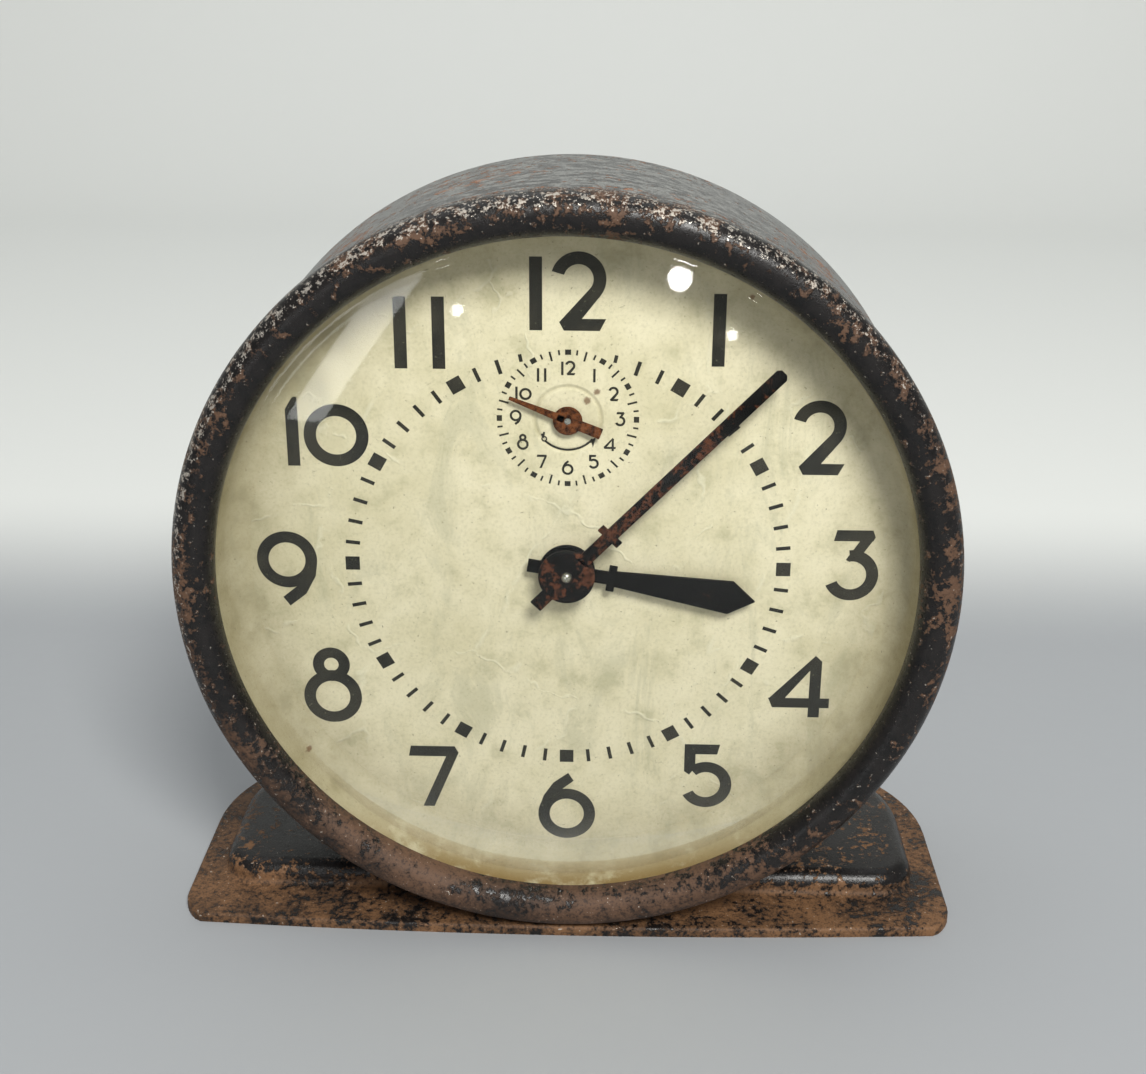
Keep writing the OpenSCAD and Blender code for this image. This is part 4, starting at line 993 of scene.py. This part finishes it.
def knob(name, body, node, radius, notches, base, top, hub, bore, centre):
    shape = bmesh.new()
    ring = bmesh.ops.create_circle(shape, cap_ends=True, segments=4 * notches, radius=radius)["verts"]
    for number, point in enumerate(ring):
        if number % 4 == 0:
            point.co.xy *= (radius - notch) / radius
    bmesh.ops.translate(shape, verts=ring, vec=(0, 0, base))
    made = bmesh.ops.extrude_face_region(shape, geom=shape.faces[:])
    raised_part = [item for item in made["geom"] if isinstance(item, bmesh.types.BMVert)]
    bmesh.ops.translate(shape, verts=raised_part, vec=(0, 0, top - face_drop - base))
    bmesh.ops.recalc_face_normals(shape, faces=shape.faces)
    rims = [e for e in shape.edges if abs(e.verts[0].co.z - e.verts[1].co.z) < 1e-4]
    bmesh.ops.bevel(shape, geom=rims, offset=rim_round, offset_type="OFFSET", segments=4, profile=0.5,
                    affect="EDGES", material=-1, clamp_overlap=True)
    stem = turned([(0, base - 1, 0), (hub, base - 1, 0.2), (hub, base + 0.3, 0), (0, base + 0.3, 0)],
                  closed=False, steps=48)
    bmesh.ops.recalc_face_normals(stem, faces=stem.faces)
    merged(shape, stem)
    dish = [(0, top - 0.7, 0), (radius - 0.9, top - 0.7, 0), (radius - 0.9, top, 0.2),
            (radius - 1.5, top, 0.2), (bore + 0.5, top - 0.35, 0.2), (bore, top - 0.05, 0.1),
            (0, top - 0.05, 0)]
    boss = turned(dish, closed=False, steps=64)
    bmesh.ops.recalc_face_normals(boss, faces=boss.faces)
    merged(shape, boss)
    bmesh.ops.translate(shape, verts=shape.verts, vec=(*centre, 0))
    return piece(shape, name, body, brass_finish, [node], outward=False)


knob("setting_knob", "centre", "time_set_knob", 5, 30, 32, 35, 2.4, 1.3, (0, 0))
knob("alarm_knob", "alarm_setting", "alarm_set_knob", 4.4, 26, 32, 34.8, 2.2, 1.25, alarm_centre)

# %% Shape the winding keys
key_foot, key_shoulder, key_crown, wing_level, half_sheet, key_hub = 31.4, 34.6, 36, 38, 0.7, 2.9


def winding_key(name, body, node, span, centre, degrees):
    shape = turned([(0, key_foot, 0), (key_hub, key_foot, 0.3), (key_hub, key_shoulder, 0.5),
                    (2.2, key_crown, 0.5), (0, key_crown, 0)], closed=False, steps=64)
    bmesh.ops.recalc_face_normals(shape, faces=shape.faces)
    wing = span / 4
    for side in (-1, 1):
        hole = wing / 2.2
        section = [(hole, -half_sheet, 0.25), (wing, -half_sheet, 0.45), (wing, half_sheet, 0.45),
                   (hole, half_sheet, 0.25)]
        disc = turned(section, steps=72, segments=4)
        bmesh.ops.recalc_face_normals(disc, faces=disc.faces)
        bmesh.ops.rotate(disc, verts=disc.verts, cent=(0, 0, 0), matrix=Matrix.Rotation(math.pi / 2, 3, "X"))
        bmesh.ops.translate(disc, verts=disc.verts, vec=(side * (span / 2 - wing), 0, wing_level))
        merged(shape, disc)
    web = bmesh.new()
    bmesh.ops.create_cube(web, size=1)
    bmesh.ops.scale(web, verts=web.verts, vec=(span / 5, 2 * half_sheet, 3.4))
    bmesh.ops.translate(web, verts=web.verts, vec=(0, 0, 36.6))
    softened(web, 0.35, 3)
    merged(shape, web)
    bmesh.ops.rotate(shape, verts=shape.verts, cent=(0, 0, 0),
                     matrix=Matrix.Rotation(math.radians(degrees), 3, "Z"))
    bmesh.ops.translate(shape, verts=shape.verts, vec=(*centre, 0))
    return piece(shape, name, body, brass_finish, [node], outward=False)


def middle_of(node):
    """The middle of a CAD node on the dial board, in millimetres."""
    box_low, box_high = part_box(node)
    middle = DIAL.inverted() @ ((box_low + box_high) / 2)
    return (middle.x, middle.y)


time_key_at, alarm_key_at = middle_of("time_key"), middle_of("alarm_key")
winding_key("time_winding_key", "time_winding", "time_key", 17, time_key_at, 30)
winding_key("alarm_winding_key", "alarm_winding", "alarm_key", 15, alarm_key_at, -20)

# %% [markdown]
# ## Marks on the back
# The back cover is pressed with plain curved arrows that say which way each key and knob turns,
# and a low ring round each hole. They are embossed in the sheet, so they wear the same enamel.

# %% Emboss rings and arrows
emboss = bmesh.new()
arrow_from, arrow_to, proud, root = 120, 330, 29.85, 29.3
outward_at_tip = Vector((math.cos(math.radians(arrow_to)), math.sin(math.radians(arrow_to))))
ahead = Vector((-outward_at_tip.y, outward_at_tip.x))
for centre, radius in ((time_key_at, 6.4), (alarm_key_at, 6.0)):
    band_of(emboss, centre, radius + 0.35, radius - 0.35, arrow_from, arrow_to, proud, root)
    end = Vector(centre) + outward_at_tip * radius
    beside = Vector((ahead.y, -ahead.x))
    tip_points = [end + ahead * 1.8, end + beside * 1.1 - ahead * 0.2, end - beside * 1.1 - ahead * 0.2]
    plate_of(emboss, [tuple(p) for p in tip_points], proud, root)
collars = [((0, 0), 3.2), (alarm_centre, 3.1), (time_key_at, 3.6), (alarm_key_at, 3.6)]
for centre, radius in collars:
    band_of(emboss, centre, radius, radius - 0.5, 0, 360, proud, root)
band_of(emboss, (0, 0), 52.8, 52, 0, 360, proud - 0.05, root)
piece(emboss, "cover_marks", "case", back_finish)

# %% [markdown]
# ## Movement
# The wheels, springs and levers keep their CAD shapes, which already have every tooth and turn,
# and only need the right metal.

# %% Repaint what keeps its shape
metals = {
    "brass": (brass_finish, ["front_plate", "back_plate", "centre_wheel", "cannon_pinion", "hour_wheel",
                             "minute_wheel", "third_wheel", "fourth_wheel", "escape_wheel", "alarm_wheel",
                             "time_main_wheel", "alarm_main_wheel", "alarm_escape_wheel", "balance_wheel"]),
    "steel": (steel_finish, ["base_nuts", "pillars", "standoffs", "centre_arbor", "pallet_lever",
                             "balance_screws", "time_click", "time_winding_arbor", "alarm_arbor",
                             "alarm_click", "alarm_winding_arbor", "hammer", "bell_post",
                             "alarm_release_spring"]),
    "blued_steel": (blued_finish, ["hairspring", "time_mainspring", "alarm_mainspring"]),
}
for slot_name, (finish, nodes) in metals.items():
    for node in nodes:
        repaint(node, finish)
repaint("hand_cap", cap_finish)
print("repainted", 1 + sum(len(nodes) for finish, nodes in metals.values()), "nodes")

# %% [markdown]
# ## Floor and light
# A plain grey floor turns paler behind the clock and curves up into a backdrop, so no horizon line
# crosses the clock. A soft key light stands high on the right in front, and a broad panel hangs
# above. A tall strip on the left draws the long streak on the glass, and three small round lamps
# make its bright spots. The lamps can't be seen by the camera.

# %% Floor and backdrop
def plain_finish(name, floor_colour, wall_colour):
    material, place = new_finish(name)
    grain = clouds(place, 3, 3)
    colour = tint(towards(place, (0, 1, 0), 80, 170), floor_colour, wall_colour)
    surface(place, {"Base Color": colour, "Roughness": 0.55 + grain * 0.1})
    return material


floor_shape = bmesh.new()
start = [floor_shape.verts.new((-1.6, depth, 0)) for depth in (-2.6, 0.55)]
floor_shape.edges.new(start)
bend = bmesh.ops.spin(floor_shape, geom=[start[1]], cent=(0, 0.55, 0.25), axis=(1, 0, 0),
                      angle=math.pi / 2, steps=16)
top_edge = next(item for item in bend["geom_last"] if isinstance(item, bmesh.types.BMVert))
wall_top = floor_shape.verts.new((-1.6, 0.8, 1.4))
floor_shape.edges.new((top_edge, wall_top))
sheet = bmesh.ops.extrude_edge_only(floor_shape, edges=floor_shape.edges[:])
moved = [item for item in sheet["geom"] if isinstance(item, bmesh.types.BMVert)]
bmesh.ops.translate(floor_shape, verts=moved, vec=(3.2, 0, 0))
floor_mesh = bpy.data.meshes.new("studio_floor")
floor_shape.to_mesh(floor_mesh)
floor_shape.free()
floor_mesh.materials.append(plain_finish("pale_floor", paint(148, 151, 154), paint(214, 216, 213)))
floor_mesh.shade_smooth()
floor = bpy.data.objects.new("studio_floor", floor_mesh)
scene.collection.objects.link(floor)

# %% Lamps
def lamp(name, place, aim, size, watts, shape="RECTANGLE", size_y=None, colour=(1, 1, 1), up=(0, 0, 1)):
    data = bpy.data.lights.new(name, "AREA")
    data.shape = shape
    data.size = size
    if size_y:
        data.size_y = size_y
    data.energy = watts
    data.color = colour
    light = bpy.data.objects.new(name, data)
    light.visible_camera = False
    away = (Vector(place) - Vector(aim)).normalized()
    side = Vector(up).cross(away).normalized()
    turn = Matrix((side, away.cross(side), away)).transposed().to_4x4()
    light.matrix_world = Matrix.Translation(place) @ turn
    scene.collection.objects.link(light)
    return light


dial_middle = (0, dial_level, axis_height)
lamp("key_panel", (0.22, -0.68, 0.68), dial_middle, 0.26, 11, size_y=0.26, colour=(1.0, 0.985, 0.95))
lamp("sky_panel", (-0.1, 0.25, 1.1), dial_middle, 1.2, 4.5, size_y=0.9, colour=(0.95, 0.98, 1.0))
lamp("bright_spot", (0.149, -0.801, 0.237), dial_middle, 0.036, 0.28, "DISK")
lamp("left_spot", (-0.191, -0.80, 0.185), dial_middle, 0.018, 0.034, "DISK")
lamp("right_spot", (0.230, -0.795, 0.150), dial_middle, 0.016, 0.03, "DISK")
lamp("streak_strip", (-0.345, -0.76, 0.125), dial_middle, 0.05, 0.42, size_y=0.32, up=(0.15, -0.05, 0.24))
world = bpy.data.worlds.new("studio")
world.use_nodes = True
world.node_tree.nodes["Background"].inputs["Color"].default_value = (0.93, 0.93, 0.93, 1)
world.node_tree.nodes["Background"].inputs["Strength"].default_value = 0.34
scene.world = world
scene.view_settings.view_transform = "Standard"
